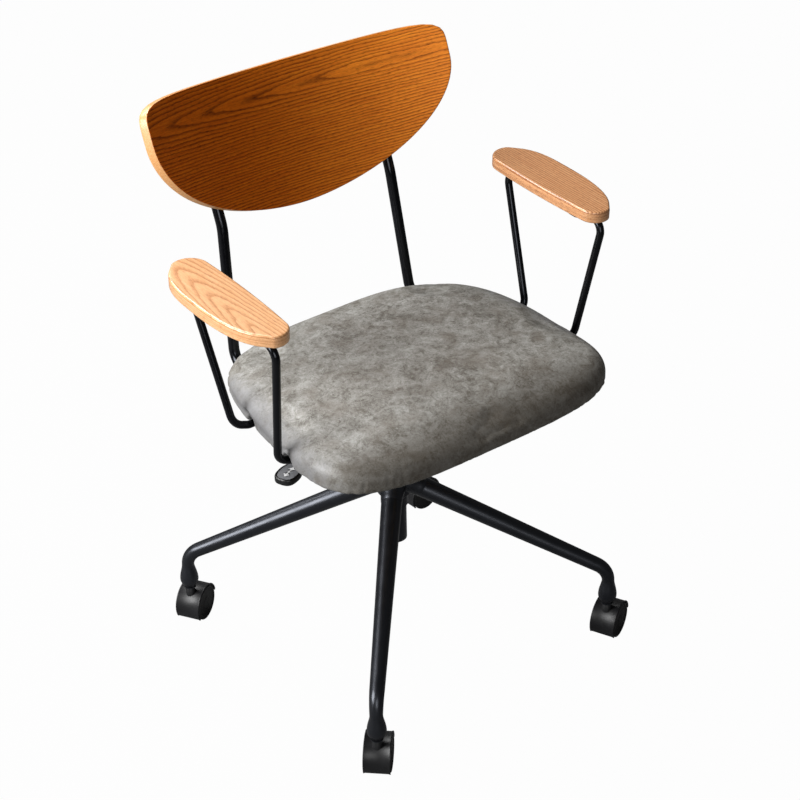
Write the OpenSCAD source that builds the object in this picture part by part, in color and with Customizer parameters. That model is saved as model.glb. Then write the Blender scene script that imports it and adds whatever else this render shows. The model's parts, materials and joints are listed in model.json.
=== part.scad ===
// Office armchair on a four-leg swivel base: plywood backrest, upholstered seat
// and two wooden armrests carried by bent steel rod.
// Millimetres. The origin is on the floor at the swivel axis, +Z is up and the
// chair faces -Y. "Left" and "right" are the sitter's, so left is +X.

/* [Seat] */
// Overall width of the upholstered seat
seat_w = 443; // [400:1:450]
// Front edge of the seat ahead of the swivel axis
seat_front = 218; // [190:1:240]
// Rear edge of the seat behind the swivel axis
seat_rear = 140; // [120:1:141]
// Distance ahead of the swivel axis at which the seat is widest
seat_widest = 87; // [50:1:110]
// Height of the lower edge of the cushion above the floor
seat_z = 417; // [405:1:430]
// Height of the upholstered edge, without the crown
seat_edge_h = 38; // [34:1:50]
// Height of the crown above the upholstered edge
seat_crown = 12; // [4:1:20]
// Radius of the top edge of the cushion
seat_top_r = 22; // [16:1:28]
// Radius of the bottom edge of the cushion
seat_bottom_r = 7; // [4:1:10]
// Squareness of the front corners
seat_front_n = 3.8; // [2.5:0.1:5]
// Squareness of the rear corners
seat_rear_n = 5.8; // [3:0.1:7]
// Share of its width that the seat loses towards its rear edge
seat_taper = 0.14; // [0:0.01:0.18]
// Height of the seat board above the lower edge of the cushion
board_up = 10; // [6:1:12]
// Thickness of the plywood seat board
board_t = 12; // [9:1:15]
// Width of the padded border around the seat board
board_inset = 13; // [10:1:18]

/* [Backrest] */
// Width of the backrest along its curve
back_w = 468; // [420:1:500]
// Height of the backrest along its slope
back_h = 181; // [160:1:200]
// Height of its widest line above its bottom edge
back_widest = 125; // [100:1:135]
// Thickness of the moulded plywood
back_t = 13; // [10:0.5:16]
// Radius of its curve around the sitter
back_r = 450; // [380:5:600]
// Backward slope of the backrest in degrees
back_tilt = 21; // [16:0.5:25]
// Front face of its bottom edge behind the swivel axis
back_y = 169; // [165:0.5:175]
// Height of its bottom edge above the floor
back_z = 600; // [580:1:620]
// Roundness of the bottom outline
back_bottom_n = 1.95; // [1.8:0.05:2.4]
// Squareness of the top outline
back_top_n = 5; // [3:0.5:7]
// Radius of its rounded edge
back_edge_r = 3; // [1:0.5:5]

/* [Back uprights] */
// Diameter of the upright tubes
upright_d = 14; // [12:1:16]
// Wall of the upright tubes
upright_wall = 1.5; // [1:0.1:2.5]
// Half the distance between the uprights under the seat
upright_x_low = 143; // [138:1:146]
// Half the distance between the uprights behind the backrest
upright_x_high = 131.5; // [120:0.5:140]
// Distance of the upright behind the swivel axis at seat level
upright_y = 146.8; // [146:0.2:150]
// Front end of the run below the seat
upright_run_y = 24; // [0:1:40]
// Radius of the bend below the seat, on the tube's axis
upright_bend_r = 25; // [22:1:28]
// Height of the tubes above the bottom edge of the backrest
upright_rise = 128; // [110:1:140]

/* [Armrests] */
// Distance from the upper rod inwards to the inner edge of its pad
pad_over = 23; // [20:0.5:27]
// Width of a pad
pad_w = 60; // [50:1:70]
// Thickness of a pad
pad_t = 16; // [12:1:20]
// Front tip of a pad ahead of the swivel axis
pad_front = 128; // [122:1:150]
// Rear end of a pad behind the swivel axis
pad_rear = 86; // [78:1:100]
// Distance of the widest line of a pad behind the swivel axis
pad_widest = 15; // [0:1:30]
// Height of the underside of a pad at the swivel axis
pad_z = 612; // [590:1:630]
// Forward slope of the pads in degrees
pad_pitch = 2.5; // [0:0.5:5]
// Radius of the rounded edges of a pad
pad_edge_r = 2.5; // [1:0.5:5]
// Diameter of the armrest rod
arm_rod_d = 10; // [8:1:12]
// Distance from the side of the seat to the axis of an armrest rod
arm_gap = 11.5; // [8:0.5:14]
// Distance by which an armrest rod leans outwards up to its pad
arm_lean = 13; // [10:0.5:18]
// Front rod below the seat, measured from the swivel axis
arm_front_low = -87; // [-95:1:-75]
// Front rod below the pad, measured from the swivel axis
arm_front_high = -119; // [-120:1:-110]
// Rear rod below the seat, measured from the swivel axis
arm_rear_low = 10; // [-5:1:15]
// Rear rod below the pad, measured from the swivel axis
arm_rear_high = 69; // [60:1:72]
// Bend radius of the armrest rod, on its axis
arm_bend_r = 16; // [12:1:18]
// Radius of the arm rods' lower bends
arm_foot_r = 20; // [14:1:22]
// Height of the arm rods' lower bends above the lower edge of the cushion
arm_foot_up = 13; // [8:1:18]

/* [Base] */
// Radius of the circle through the caster stems
base_r = 290; // [260:1:320]
// Direction of the front right leg in degrees, seen from above
base_turn = -131.9; // [-180:0.1:180]
// Height of a leg's axis where it would reach the swivel axis
leg_z = 262; // [250:1:270]
// Downward slope of a leg in degrees
leg_slope = 26.8; // [25:0.1:27.5]
// Diameter of a leg at the hub
leg_d_hub = 28.5; // [26:0.5:30]
// Diameter of a leg before its bend
leg_d_end = 19.5; // [18:0.5:22]
// Diameter of the neck above the caster socket
leg_neck_d = 17; // [16:0.5:18]
// Diameter of the rounded caster socket
socket_d = 25.5; // [24:0.5:28]
// Height of the underside of the caster sockets
socket_z = 62; // [61:0.5:64]
// Diameter of the hub where the legs join it
hub_d = 46; // [44:1:54]
// Diameter of the boss below the legs
hub_boss_d = 37; // [35:1:42]
// Height of the underside of the hub boss
hub_z = 216; // [205:1:222]
// Height of the top of the hub
hub_top = 270; // [268:1:280]

/* [Height column] */
// Outer diameter of the column tube
column_d = 32; // [32:0.5:34]
// Height of the open lower end of the column tube
column_z = 160; // [150:1:165]
// Height of the upper end of the column tube
column_top = 298; // [290:1:299]
// Diameter of the gas spring's pressure tube
spring_d = 28; // [27:0.5:28]
// Length of the pressure tube
spring_l = 157; // [150:1:157]
// Diameter of the piston rod
piston_rod_d = 8; // [6:1:10]
// Downward travel of the seat from the height shown
lift_down = 30; // [10:1:30]
// Upward travel of the seat from the height shown
lift_up = 45; // [20:1:45]

/* [Seat mechanism] */
// Width of the mounting plate
plate_w = 176; // [160:1:190]
// Depth of the mounting plate
plate_d = 156; // [140:1:170]
// Thickness of the mounting plate
plate_t = 3; // [2.5:0.5:4]
// Distance between the plate's screws across the chair
plate_hole_x = 140; // [130:1:150]
// Distance between the plate's screws along the chair
plate_hole_y = 118; // [110:1:124]
// Width of the pressed housing
housing_w = 78; // [74:1:90]
// Depth of the pressed housing
housing_d = 104; // [96:1:108]
// Wall of the pressed housing
housing_wall = 2.5; // [2:0.5:3]
// Height of the underside of the pressed housing
housing_z = 362; // [360:1:363]
// Length of the socket below the housing
housing_socket_l = 27; // [20:1:28]

/* [Height lever] */
// Diameter of the lever rod
lever_d = 7; // [6:0.5:8]
// Distance from the swivel axis to the lever's pivot
lever_pivot = 24; // [22:0.5:26]
// Direction of the lever rod in degrees, seen from above
lever_turn = 194.6; // [190:0.2:198]
// Distance from the swivel axis to the inner end of the paddle
lever_l = 173; // [160:1:180]
// Length of the paddle
paddle_l = 58; // [45:1:62]
// Width of the paddle
paddle_w = 25; // [20:1:28]
// Thickness of the paddle
paddle_t = 7; // [6:0.5:8]
// Direction of the paddle in degrees, seen from above
paddle_turn = 205; // [198:0.5:208]
// Height of the paddle's top face
paddle_z = 385; // [382:0.5:388]
// Upward travel of the lever in degrees
lever_travel = 5; // [3:0.5:5]

/* [Casters] */
// Diameter of a caster wheel
wheel_d = 50; // [46:1:50]
// Width of a caster across both wheels
wheel_w = 35; // [34:1:40]
// Distance from the stem's axis back to the wheel axle
caster_trail = 12; // [10:1:14]
// Diameter of the caster stem
stem_d = 11; // [10:0.5:11]
// Length of the stem inside the leg's socket
stem_l = 27; // [24:1:28]
// Diameter of the caster axle
axle_d = 6; // [5:0.5:7]
// Wall of the caster hood
hood_t = 1.6; // [1.2:0.1:2]
// Directions in which the four casters trail, in degrees
caster_turn = [47, 25, 5, 32];

/* [Fits and fasteners] */
// Running clearance of a shaft in its bore, on the radius
fit = 0.05; // [0.02:0.01:0.1]
// Gap between pieces that seat against each other without touching
seat_gap = 0.3; // [0.2:0.05:0.5]
// Diameter of the seat and armrest screws
screw_d = 6; // [5:0.5:6]
// Diameter of the screw heads
head_d = 11.5; // [10:0.5:12]
// Height of the screw heads
head_h = 3; // [2:0.5:3.5]

/* [Hidden] */

$fn = 64;
eps = 0.01;
// Sides of a bent rod or tube, also inside it
rod_sides = 20;

// Colours, as the finished pieces show them
steel_black = "#15161a";
nylon_black = "#2a2b2d";
bright_steel = "#b9bcc0";
zinc = "#9a9ea3";
ply = "#d8b27c";
ash = "#e3b07a";
walnut_stain = "#a4570f";
leather = "#85847c";

// Levels of the seat
seat_edge_top = seat_z + seat_edge_h;
board_z = seat_z + board_up;
board_top = board_z + board_t;
underside = board_z - seat_gap;
// Clearance round the rods and tubes that pass through the border of the cushion
slot_gap = 1;

// Armrest rod: height of its axis below the seat and its slope below the pads
arm_z_low = underside - arm_rod_d / 2;
arm_drop = arm_rod_d / 2 + 0.2;
arm_plate_t = 4;
arm_x_low = seat_w / 2 + arm_gap;
arm_x_high = arm_x_low + arm_lean;
// Its run rises outside the board to the lower bends
arm_rise_x = seat_w / 2 - board_inset + 3;
arm_z_bend = seat_z + arm_foot_up;
arm_slot_top = arm_z_low + (arm_z_bend - arm_z_low) * (seat_w / 2 - arm_rise_x) / (arm_x_low - arm_rise_x)
    + arm_rod_d / 2 + 2;
pad_x = arm_x_high - pad_over;
arm_plate_out = seat_w / 2 - 16.5;
arm_plate_in = arm_plate_out - 47;
arm_plate_front = arm_front_low - 20;
arm_plate_rear = arm_rear_low + 17;
arm_rod_end = arm_plate_in + 8;
arm_screws = [
    [arm_rod_end + 8, arm_front_low + 20],
    [arm_rod_end + 8, arm_rear_low - 18],
    [arm_plate_out - 13, (arm_front_low + arm_rear_low) / 2]
];
tab_w = 26;
tab_l = 18;
tab_t = 3;
tab_y = [-84, 40];
tab_hole = 12;
wood_screw_d = 4;
wood_screw_l = 11;

// Uprights
upright_z = underside - upright_d / 2;
upright_screw_y = [44, 84];
// Axis of the tube behind the shell: it clears the back face by the spacer
spacer_gap = 1.5;
upright_off = sqrt(pow(back_r + back_t + spacer_gap + upright_d / 2, 2) - pow(upright_x_high, 2)) - back_r;
back_screw_rise = [58, 108];
back_screw_d = 5;
back_screw_depth = 9;

// Column and gas spring
column_wall = 1.4;
column_plate_z = column_z + 6;
column_plate_t = 3;
bearing_t = 6;
spring_top = housing_z + 4;
spring_bottom = spring_top - spring_l;
spring_wall = 2;
spring_seal_t = 6;
spring_cap_t = 10;
piston_t = 14;
piston_z = spring_bottom + spring_seal_t + lift_up + 6;
bush_l = 38;
bush_flange_t = 3;
clip_t = 1.2;
button_d = 6;
button_h = 6;

// Mechanism
socket_bore = spring_d + 2 * fit;
socket_outer_d = spring_d + 10;
plate_z = board_z - plate_t;
plate_flange_h = 9;
lever_dir = [cos(lever_turn), sin(lever_turn)];
lever_z = spring_top + button_h + lever_d / 2 + seat_gap;
lever_out_z = paddle_z - paddle_t / 2;
paddle_end = [lever_l * lever_dir[0], lever_l * lever_dir[1], lever_out_z];
pin_d = 5;
pin_l = 22;

// Tee nuts
nut_d = 8;
nut_flange_d = 16;
nut_flange_t = 1.2;

// Casters
wheel_r = wheel_d / 2;
hood_gap = 1;
hood_in = wheel_r + hood_gap;
hood_out = hood_in + hood_t;
web_t = 5;
boss_d = 15.5;
rim_in = boss_d / 2 + 0.6;
rim_t = 4;
disc_t = 2.5;
wheel_hub_d = 13;
collar_d = 17;
collar_t = 2;
hood_low = -40;
hood_back = 152;
boss_top = socket_z - collar_t - seat_gap;

corner_names = ["front_right", "front_left", "rear_left", "rear_right"];

// Vector helpers
function unit(v) = v / norm(v);
function perp(v) = unit(abs(v[2]) < 0.9 * norm(v) ? cross([0, 0, 1], v) : cross([1, 0, 0], v));

// Turns vector v about the unit vector k by an angle
function turned(v, k, angle) =
    v * cos(angle) + cross(k, v) * sin(angle) + k * (k * v) * (1 - cos(angle));

// A rod bent along a list of corners, each rounded with its own radius.
// Rings are set square to its axis at every end and at equal steps round each bend.
module bent_rod(corners, radii, d, sides = rod_sides, steps = 6) {
    n = len(corners);
    dirs = [for (i = [0 : n - 2]) unit(corners[i + 1] - corners[i])];
    turns = [for (i = [1 : n - 2]) acos(dirs[i - 1] * dirs[i])];
    axes = [for (i = [1 : n - 2]) unit(cross(dirs[i - 1], dirs[i]))];
    cuts = [for (i = [1 : n - 2]) radii[i - 1] * tan(turns[i - 1] / 2)];
    // Direction across the rod at each straight, carried round the bends without twist
    across = [for (i = 0, x = perp(dirs[0]); i < n - 1;
        x = i < n - 2 ? turned(x, axes[i], turns[i]) : x, i = i + 1) x];
    bends = [for (i = [0 : n - 3]) let (
            start = corners[i + 1] - cuts[i] * dirs[i],
            out = -radii[i] * cross(axes[i], dirs[i]),
            centre = start - out)
        for (s = [0 : steps]) let (a = turns[i] * s / steps)
            rod_ring(centre + turned(out, axes[i], a), turned(dirs[i], axes[i], a),
                turned(across[i], axes[i], a), d, sides)];
    skin(concat(
        [rod_ring(corners[0], dirs[0], across[0], d, sides)],
        bends,
        [rod_ring(corners[n - 1], dirs[n - 2], across[n - 2], d, sides)]
    ));
}

// Ring of points round a rod's axis, square to its direction
function rod_ring(o, along, x, d, sides) =
    let (y = cross(along, x))
    [for (i = [0 : sides - 1]) let (t = i * 360 / sides) o + d / 2 * (cos(t) * x + sin(t) * y)];

// A closed skin over rings of points that run counter-clockwise, with pointed ends
module skin(rings) {
    m = len(rings[0]);
    n = len(rings);
    pts = [for (r = rings) for (p = r) p];
    first = [for (k = [0 : 2]) sum([for (p = rings[0]) p[k]]) / m];
    last = [for (k = [0 : 2]) sum([for (p = rings[n - 1]) p[k]]) / m];
    sides = [for (i = [0 : n - 2]) for (j = [0 : m - 1]) let (k = (j + 1) % m)
        each [[i * m + j, i * m + m + j, i * m + m + k], [i * m + j, i * m + m + k, i * m + k]]];
    low = [for (j = [0 : m - 1]) [n * m, j, (j + 1) % m]];
    high = [for (j = [0 : m - 1]) [n * m + 1, (n - 1) * m + (j + 1) % m, (n - 1) * m + j]];
    polyhedron(points = concat(pts, [first, last]), faces = concat(sides, low, high));
}

function sum(v, i = 0) = i >= len(v) ? 0 : v[i] + sum(v, i + 1);

// Radius of a superellipse with half axes a and b and exponent n in direction t
function oval_r(a, b, n, t) = pow(pow(abs(cos(t)) / a, n) + pow(abs(sin(t)) / b, n), -1 / n);

// Plan outline of the seat, drawn in by an inset
function seat_point(t, inset) =
    let (b = sin(t) < 0 ? seat_front - seat_widest : seat_rear + seat_widest)
    let (n = sin(t) < 0 ? seat_front_n : seat_rear_n)
    let (r = oval_r(seat_w / 2 - inset, b - inset, n, t))
    let (y = r * sin(t))
    [r * cos(t) * (1 - seat_taper * max(0, y) / (seat_rear + seat_widest)), y - seat_widest];

function seat_ring(inset, z, shrink = 1, m = 64) =
    [for (i = [0 : m - 1]) let (p = seat_point(i * 360 / m, inset))
        [p[0] * shrink, (p[1] + seat_widest) * shrink - seat_widest, z]];

// Base and column

module base_hub() {
    shoulder = hub_z + 16;
    color(steel_black) difference() {
        rotate_extrude() polygon([
            [0, hub_z], [hub_boss_d / 2 - 1, hub_z], [hub_boss_d / 2, hub_z + 1],
            [hub_boss_d / 2, shoulder], [hub_d / 2, shoulder + 5],
            [hub_d / 2, hub_top - 2], [hub_d / 2 - 2, hub_top], [0, hub_top]
        ]);
        translate([0, 0, hub_z - 1]) cylinder(d = column_d + 2 * fit, h = hub_top - hub_z + 2);
    }
}

// Axis of a leg in its own vertical plane: straight down the slope, then a bend
leg_bend_r = 30;
leg_bend_turn = 90 - leg_slope;
leg_neck_z = socket_z + 39;
function leg_line_z(r) = leg_z - r * tan(leg_slope);
leg_bend_start = base_r - leg_bend_r * (1 - cos(leg_bend_turn));
leg_bend_z = leg_line_z(leg_bend_start);
leg_bend_end_z = leg_bend_z - leg_bend_r * sin(leg_bend_turn);

module leg(k) {
    inner = hub_d / 2 - 6;
    // Each station holds radius from the axis, height, direction angle and diameter
    straight = [for (i = [0 : 3]) let (s = i / 3)
        [inner + s * (leg_bend_start - inner), leg_line_z(inner + s * (leg_bend_start - inner)),
            -leg_slope, leg_d_hub + s * (leg_d_end - leg_d_hub)]];
    curve = [for (i = [1 : 6]) let (s = i / 6, a = leg_slope + s * leg_bend_turn)
        [base_r - leg_bend_r * (1 - sin(a)), leg_bend_z - leg_bend_r * (cos(leg_slope) - cos(a)),
            -a, leg_d_end + s * (leg_neck_d - leg_d_end)]];
    foot = [[base_r, leg_neck_z - 3, -90, leg_neck_d]];
    rings = [for (s = concat(straight, curve, foot)) leg_ring(s)];
    color(steel_black) rotate([0, 0, base_turn + 90 * k]) {
        difference() {
            union() {
                skin(rings);
                translate([base_r, 0, 0]) rotate_extrude() polygon(concat(
                    [[0, socket_z], [socket_d * 0.33, socket_z]],
                    [for (a = [-50 : 12.5 : 0]) [socket_d / 2 * cos(a), socket_z + 12 + socket_d / 2 * sin(a)]],
                    [[leg_neck_d / 2 + 1.2, leg_neck_z - 8], [leg_neck_d / 2, leg_neck_z], [0, leg_neck_z]]
                ));
            }
            cylinder(d = hub_d, h = 2 * hub_top);
            translate([base_r, 0, socket_z - 1]) cylinder(d = stem_d + 2 * fit, h = stem_l + 2);
        }
    }
}

function leg_ring(s, m = 24) =
    let (u = [cos(s[2]), 0, sin(s[2])], v = [0, 1, 0], w = cross(u, v))
    [for (i = [0 : m - 1]) let (t = i * 360 / m)
        [s[0], 0, s[1]] + s[3] / 2 * (cos(t) * v + sin(t) * w)];

module column_tube() {
    inner_d = column_d - 2 * column_wall;
    color(steel_black) difference() {
        translate([0, 0, column_z]) cylinder(d = column_d, h = column_top - column_z);
        translate([0, 0, column_z - 1]) cylinder(d = inner_d, h = column_plate_z - column_z + 1);
        translate([0, 0, column_plate_z - 1]) cylinder(d = piston_rod_d + 2 * fit, h = column_plate_t + 2);
        translate([0, 0, column_plate_z + column_plate_t]) cylinder(d = inner_d, h = column_top);
    }
}

module guide_bush() {
    color(nylon_black) difference() {
        union() {
            translate([0, 0, column_top - bush_l])
                cylinder(d = column_d - 2 * column_wall - 2 * fit, h = bush_l + eps);
            translate([0, 0, column_top]) cylinder(d = column_d, h = bush_flange_t);
        }
        translate([0, 0, column_top - bush_l - 1])
            cylinder(d = spring_d + 2 * fit, h = bush_l + bush_flange_t + 2);
    }
}

module thrust_bearing() {
    z = column_plate_z + column_plate_t;
    race_t = 1.5;
    color(bright_steel) difference() {
        union() {
            translate([0, 0, z]) cylinder(d = 20, h = race_t);
            translate([0, 0, z + race_t]) cylinder(d = 17, h = bearing_t - 2 * race_t);
            translate([0, 0, z + bearing_t - race_t]) cylinder(d = 20, h = race_t);
        }
        translate([0, 0, z - 1]) cylinder(d = piston_rod_d + 2 * fit, h = bearing_t + 2);
    }
}

module retaining_clip() {
    color(zinc) translate([0, 0, column_plate_z - clip_t]) difference() {
        cylinder(d = piston_rod_d + 8, h = clip_t);
        translate([0, 0, -1]) cylinder(d = piston_rod_d - 1.6 + 2 * fit, h = clip_t + 2);
        translate([0, -1.6, -1]) cube([20, 3.2, clip_t + 2]);
    }
}

module piston_rod() {
    groove_z = column_plate_z - clip_t - 0.1;
    color(bright_steel) difference() {
        union() {
            translate([0, 0, column_z + 1]) cylinder(d = piston_rod_d, h = piston_z + 1 - column_z);
            translate([0, 0, column_plate_z + column_plate_t + bearing_t])
                cylinder(d = piston_rod_d + 6, h = 2);
            translate([0, 0, piston_z]) cylinder(d = spring_d - 2 * spring_wall - 2 * fit, h = piston_t);
        }
        translate([0, 0, groove_z]) difference() {
            cylinder(d = piston_rod_d + 2, h = clip_t + 0.1);
            translate([0, 0, -1]) cylinder(d = piston_rod_d - 1.6, h = clip_t + 2);
        }
    }
}

module pressure_tube() {
    color(bright_steel) translate([0, 0, spring_bottom]) difference() {
        cylinder(d = spring_d, h = spring_l);
        translate([0, 0, -1]) cylinder(d = piston_rod_d + 2 * fit, h = spring_l / 2);
        translate([0, 0, spring_seal_t])
            cylinder(d = spring_d - 2 * spring_wall, h = spring_l - spring_seal_t - spring_cap_t);
        translate([0, 0, spring_l - spring_cap_t - 1]) cylinder(d = button_d + 2 * fit, h = spring_cap_t + 2);
    }
}

module valve_button() {
    color(bright_steel) translate([0, 0, spring_top - spring_cap_t + 3]) union() {
        cylinder(d = button_d, h = spring_cap_t - 3 + button_h - 1);
        translate([0, 0, spring_cap_t - 4 + button_h]) cylinder(d1 = button_d, d2 = button_d - 2, h = 1);
    }
}

// Seat mechanism

module round_rect(w, d, r) {
    hull() for (x = [-1, 1], y = [-1, 1])
        translate([x * (w / 2 - r), y * (d / 2 - r)]) circle(r = r, $fn = 24);
}

module plate_holes() {
    for (x = [-1, 1], y = [-1, 1]) translate([x * plate_hole_x / 2, y * plate_hole_y / 2]) children();
}

module seat_plate() {
    wall = plate_t;
    color(steel_black) difference() {
        union() {
            translate([0, 0, plate_z]) linear_extrude(plate_t) round_rect(plate_w, plate_d, 12);
            for (y = [-1, 1]) translate([-plate_w / 2 + 16, y * (plate_d / 2 - wall / 2) - wall / 2,
                    plate_z - plate_flange_h])
                cube([plate_w - 32, wall, plate_flange_h + eps]);
        }
        translate([0, 0, plate_z - 1]) plate_holes() cylinder(d = screw_d + 0.5, h = plate_t + 2);
        for (x = [-1, 1]) translate([x * (plate_w / 2 - 22), 0, plate_z - 1]) cylinder(d = 16, h = plate_t + 2);
    }
}

module lift_housing() {
    h = plate_z - housing_z;
    slot_w = lever_d + 5;
    color(steel_black) difference() {
        union() {
            translate([0, 0, housing_z]) linear_extrude(h) round_rect(housing_w, housing_d, 14);
            translate([0, 0, housing_z - housing_socket_l]) cylinder(d = socket_outer_d, h = housing_socket_l + eps);
        }
        translate([0, 0, housing_z + housing_wall]) linear_extrude(h)
            round_rect(housing_w - 2 * housing_wall, housing_d - 2 * housing_wall, 14 - housing_wall);
        translate([0, 0, housing_z - housing_socket_l - 1]) cylinder(d = socket_bore, h = housing_socket_l + 10);
        // Slot for the lever through the right-hand wall, open over its travel
        translate([0, 0, lever_z - slot_w / 2]) rotate([0, 0, lever_turn])
            translate([housing_w / 2 - 8, -slot_w / 2, 0]) cube([20, slot_w, slot_w + 8]);
    }
    // Ears that carry the lever's pin
    color(steel_black) for (s = [-1, 1]) translate(lever_pivot * [lever_dir[0], lever_dir[1], 0])
        rotate([0, 0, lever_turn]) difference() {
            translate([-5, s * (lever_d / 2 + 2.6) - 1.2, housing_z + housing_wall])
                cube([10, 2.4, lever_z + 5 - housing_z - housing_wall]);
            translate([0, 0, lever_z]) rotate([90, 0, 0]) cylinder(d = pin_d + 2 * fit, h = 40, center = true);
        }
}

module lever_pin() {
    color(zinc) translate([lever_pivot * lever_dir[0], lever_pivot * lever_dir[1], lever_z])
        rotate([0, 0, lever_turn]) rotate([90, 0, 0]) cylinder(d = pin_d, h = pin_l, center = true);
}

module lever_rod() {
    along = [lever_dir[0], lever_dir[1], 0];
    corners = [-4 * along + [0, 0, lever_z], 60 * along + [0, 0, lever_z],
        paddle_end, paddle_end + 0.6 * paddle_l * [cos(paddle_turn), sin(paddle_turn), 0]];
    color(steel_black) difference() {
        union() {
            bent_rod(corners, [40, 40], lever_d);
            translate([0, 0, lever_z]) translate(lever_pivot * along) rotate([0, 0, lever_turn])
                rotate([90, 0, 0]) cylinder(d = pin_d + 5, h = lever_d + 1.4, center = true);
        }
        translate([0, 0, lever_z]) translate(lever_pivot * along) rotate([0, 0, lever_turn])
            rotate([90, 0, 0]) cylinder(d = pin_d + 2 * fit, h = 40, center = true);
    }
}

module lever_paddle() {
    end_r = paddle_w / 2 - 4;
    color(nylon_black) difference() {
        translate([paddle_end[0], paddle_end[1], lever_out_z]) rotate([0, 0, paddle_turn]) hull() {
            translate([4, 0, 0]) sphere(d = paddle_t + 2.4, $fn = 24);
            for (s = [-1, 1]) {
                translate([paddle_l * 0.42, s * end_r, 0]) cylinder(r = 4, h = paddle_t, center = true, $fn = 24);
                translate([paddle_l - 7, s * (end_r - 2), 0])
                    cylinder(r = 6, h = paddle_t - 2, center = true, $fn = 32);
                translate([paddle_l - 7, s * (end_r - 2), 0])
                    cylinder(r = 5, h = paddle_t, center = true, $fn = 32);
            }
        }
        translate([paddle_end[0], paddle_end[1], lever_out_z]) rotate([0, 0, paddle_turn])
            translate([-10, 0, 0]) rotate([0, 90, 0]) cylinder(d = lever_d + 2 * fit, h = 0.6 * paddle_l + 10.2);
    }
}

// A pan-head screw that points up, with its head below z = 0
module pan_screw(shank_d, shank_l) {
    translate([0, 0, -head_h]) cylinder(d1 = head_d - 3, d2 = head_d, h = head_h / 2);
    translate([0, 0, -head_h / 2]) cylinder(d = head_d, h = head_h / 2);
    cylinder(d = shank_d, h = shank_l);
}

module seat_plate_screws() {
    color(zinc) translate([0, 0, plate_z]) plate_holes() pan_screw(screw_d, board_top - plate_z - 2);
}

// Seat

// Places of all tee nuts in the seat board
function mirror_x(p) = [-p[0], p[1]];
nut_places = concat(
    [for (x = [-1, 1], y = [-1, 1]) [x * plate_hole_x / 2, y * plate_hole_y / 2]],
    arm_screws, [for (p = arm_screws) mirror_x(p)],
    [for (x = [-1, 1], y = upright_screw_y) [x * upright_x_low, y]]
);

module seat_board() {
    color(ply) difference() {
        translate([0, 0, board_z]) linear_extrude(board_t)
            polygon([for (i = [0 : 71]) seat_point(i * 5, board_inset)]);
        for (p = nut_places) translate([p[0], p[1], board_z - 1]) cylinder(d = nut_d + 2 * fit, h = board_t + 2);
        for (p = nut_places) translate([p[0], p[1], board_top - nut_flange_t - 0.1])
            cylinder(d = nut_flange_d + 2 * fit, h = 5);
    }
}

module tee_nuts() {
    color(zinc) for (p = nut_places) translate([p[0], p[1], board_z + 1]) difference() {
        union() {
            cylinder(d = nut_d, h = board_t - 1.2);
            translate([0, 0, board_t - 1.1 - nut_flange_t]) cylinder(d = nut_flange_d, h = nut_flange_t);
        }
        translate([0, 0, -1]) cylinder(d = screw_d + 2 * fit, h = board_t + 2);
    }
}

module seat_cushion() {
    edge = [for (a = [0 : 22.5 : 90]) [seat_top_r * (1 - cos(a)), seat_edge_top - seat_top_r * (1 - sin(a))]];
    rings = concat(
        [seat_ring(seat_bottom_r, seat_z),
            seat_ring(seat_bottom_r * 0.3, seat_z + seat_bottom_r * 0.3),
            seat_ring(0.6, seat_z + seat_bottom_r)],
        [for (e = edge) seat_ring(e[0], e[1] + (e[0] > seat_top_r - 1 ? 0.4 : 0))],
        [for (s = [0.92, 0.78, 0.58, 0.34, 0.12])
            seat_ring(seat_top_r, seat_edge_top + seat_crown * (1 - s * s), s)]
    );
    color(leather) difference() {
        skin(rings);
        translate([0, 0, seat_z - 1]) linear_extrude(board_top - seat_z + 1)
            polygon([for (i = [0 : 71]) seat_point(i * 5, board_inset - seat_gap)]);
        // Slots in the border for the arm rods and the back uprights
        for (side = [-1, 1], y = [arm_front_low, arm_rear_low])
            translate([side * seat_w / 2, y, (seat_z + arm_slot_top) / 2 - 1])
                cube([80, arm_rod_d + 2 * slot_gap, arm_slot_top - seat_z + 2], center = true);
        for (side = [-1, 1]) translate([side * upright_x_low, upright_y, (seat_z + board_top) / 2 - 2])
            cube([upright_d + 2 * slot_gap, 80, board_top - seat_z], center = true);
    }
}

// Armrests; side is 1 on the left and -1 on the right

function pad_height(y) = pad_z + y * tan(pad_pitch) - arm_drop / cos(pad_pitch);

module arm_hoop(side) {
    corners = [
        [side * arm_rod_end, arm_front_low, arm_z_low],
        [side * arm_rise_x, arm_front_low, arm_z_low],
        [side * arm_x_low, arm_front_low, arm_z_bend],
        [side * arm_x_high, arm_front_high, pad_height(arm_front_high)],
        [side * arm_x_high, arm_rear_high, pad_height(arm_rear_high)],
        [side * arm_x_low, arm_rear_low, arm_z_bend],
        [side * arm_rise_x, arm_rear_low, arm_z_low],
        [side * arm_rod_end, arm_rear_low, arm_z_low]
    ];
    color(steel_black) bent_rod(corners, [12, arm_foot_r, arm_bend_r, arm_bend_r, arm_foot_r, 12], arm_rod_d);
}

module arm_plate(side) {
    mid_x = (arm_plate_in + arm_plate_out) / 2;
    mid_y = (arm_plate_front + arm_plate_rear) / 2;
    color(steel_black) difference() {
        translate([0, 0, board_z - arm_plate_t]) linear_extrude(arm_plate_t) intersection() {
            translate([side * mid_x, mid_y])
                round_rect(arm_plate_out - arm_plate_in, arm_plate_rear - arm_plate_front, 6);
            polygon([for (i = [0 : 71]) seat_point(i * 5, board_inset + 1)]);
        }
        for (p = arm_screws) translate([side * p[0], p[1], board_z - arm_plate_t - 1])
            cylinder(d = screw_d + 0.5, h = arm_plate_t + 2);
        for (y = [arm_front_low, arm_rear_low]) translate([side * (arm_rod_end - 0.1), y, arm_z_low])
            rotate([0, side * 90, 0]) cylinder(d = arm_rod_d + 2 * fit, h = 60);
    }
}

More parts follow.
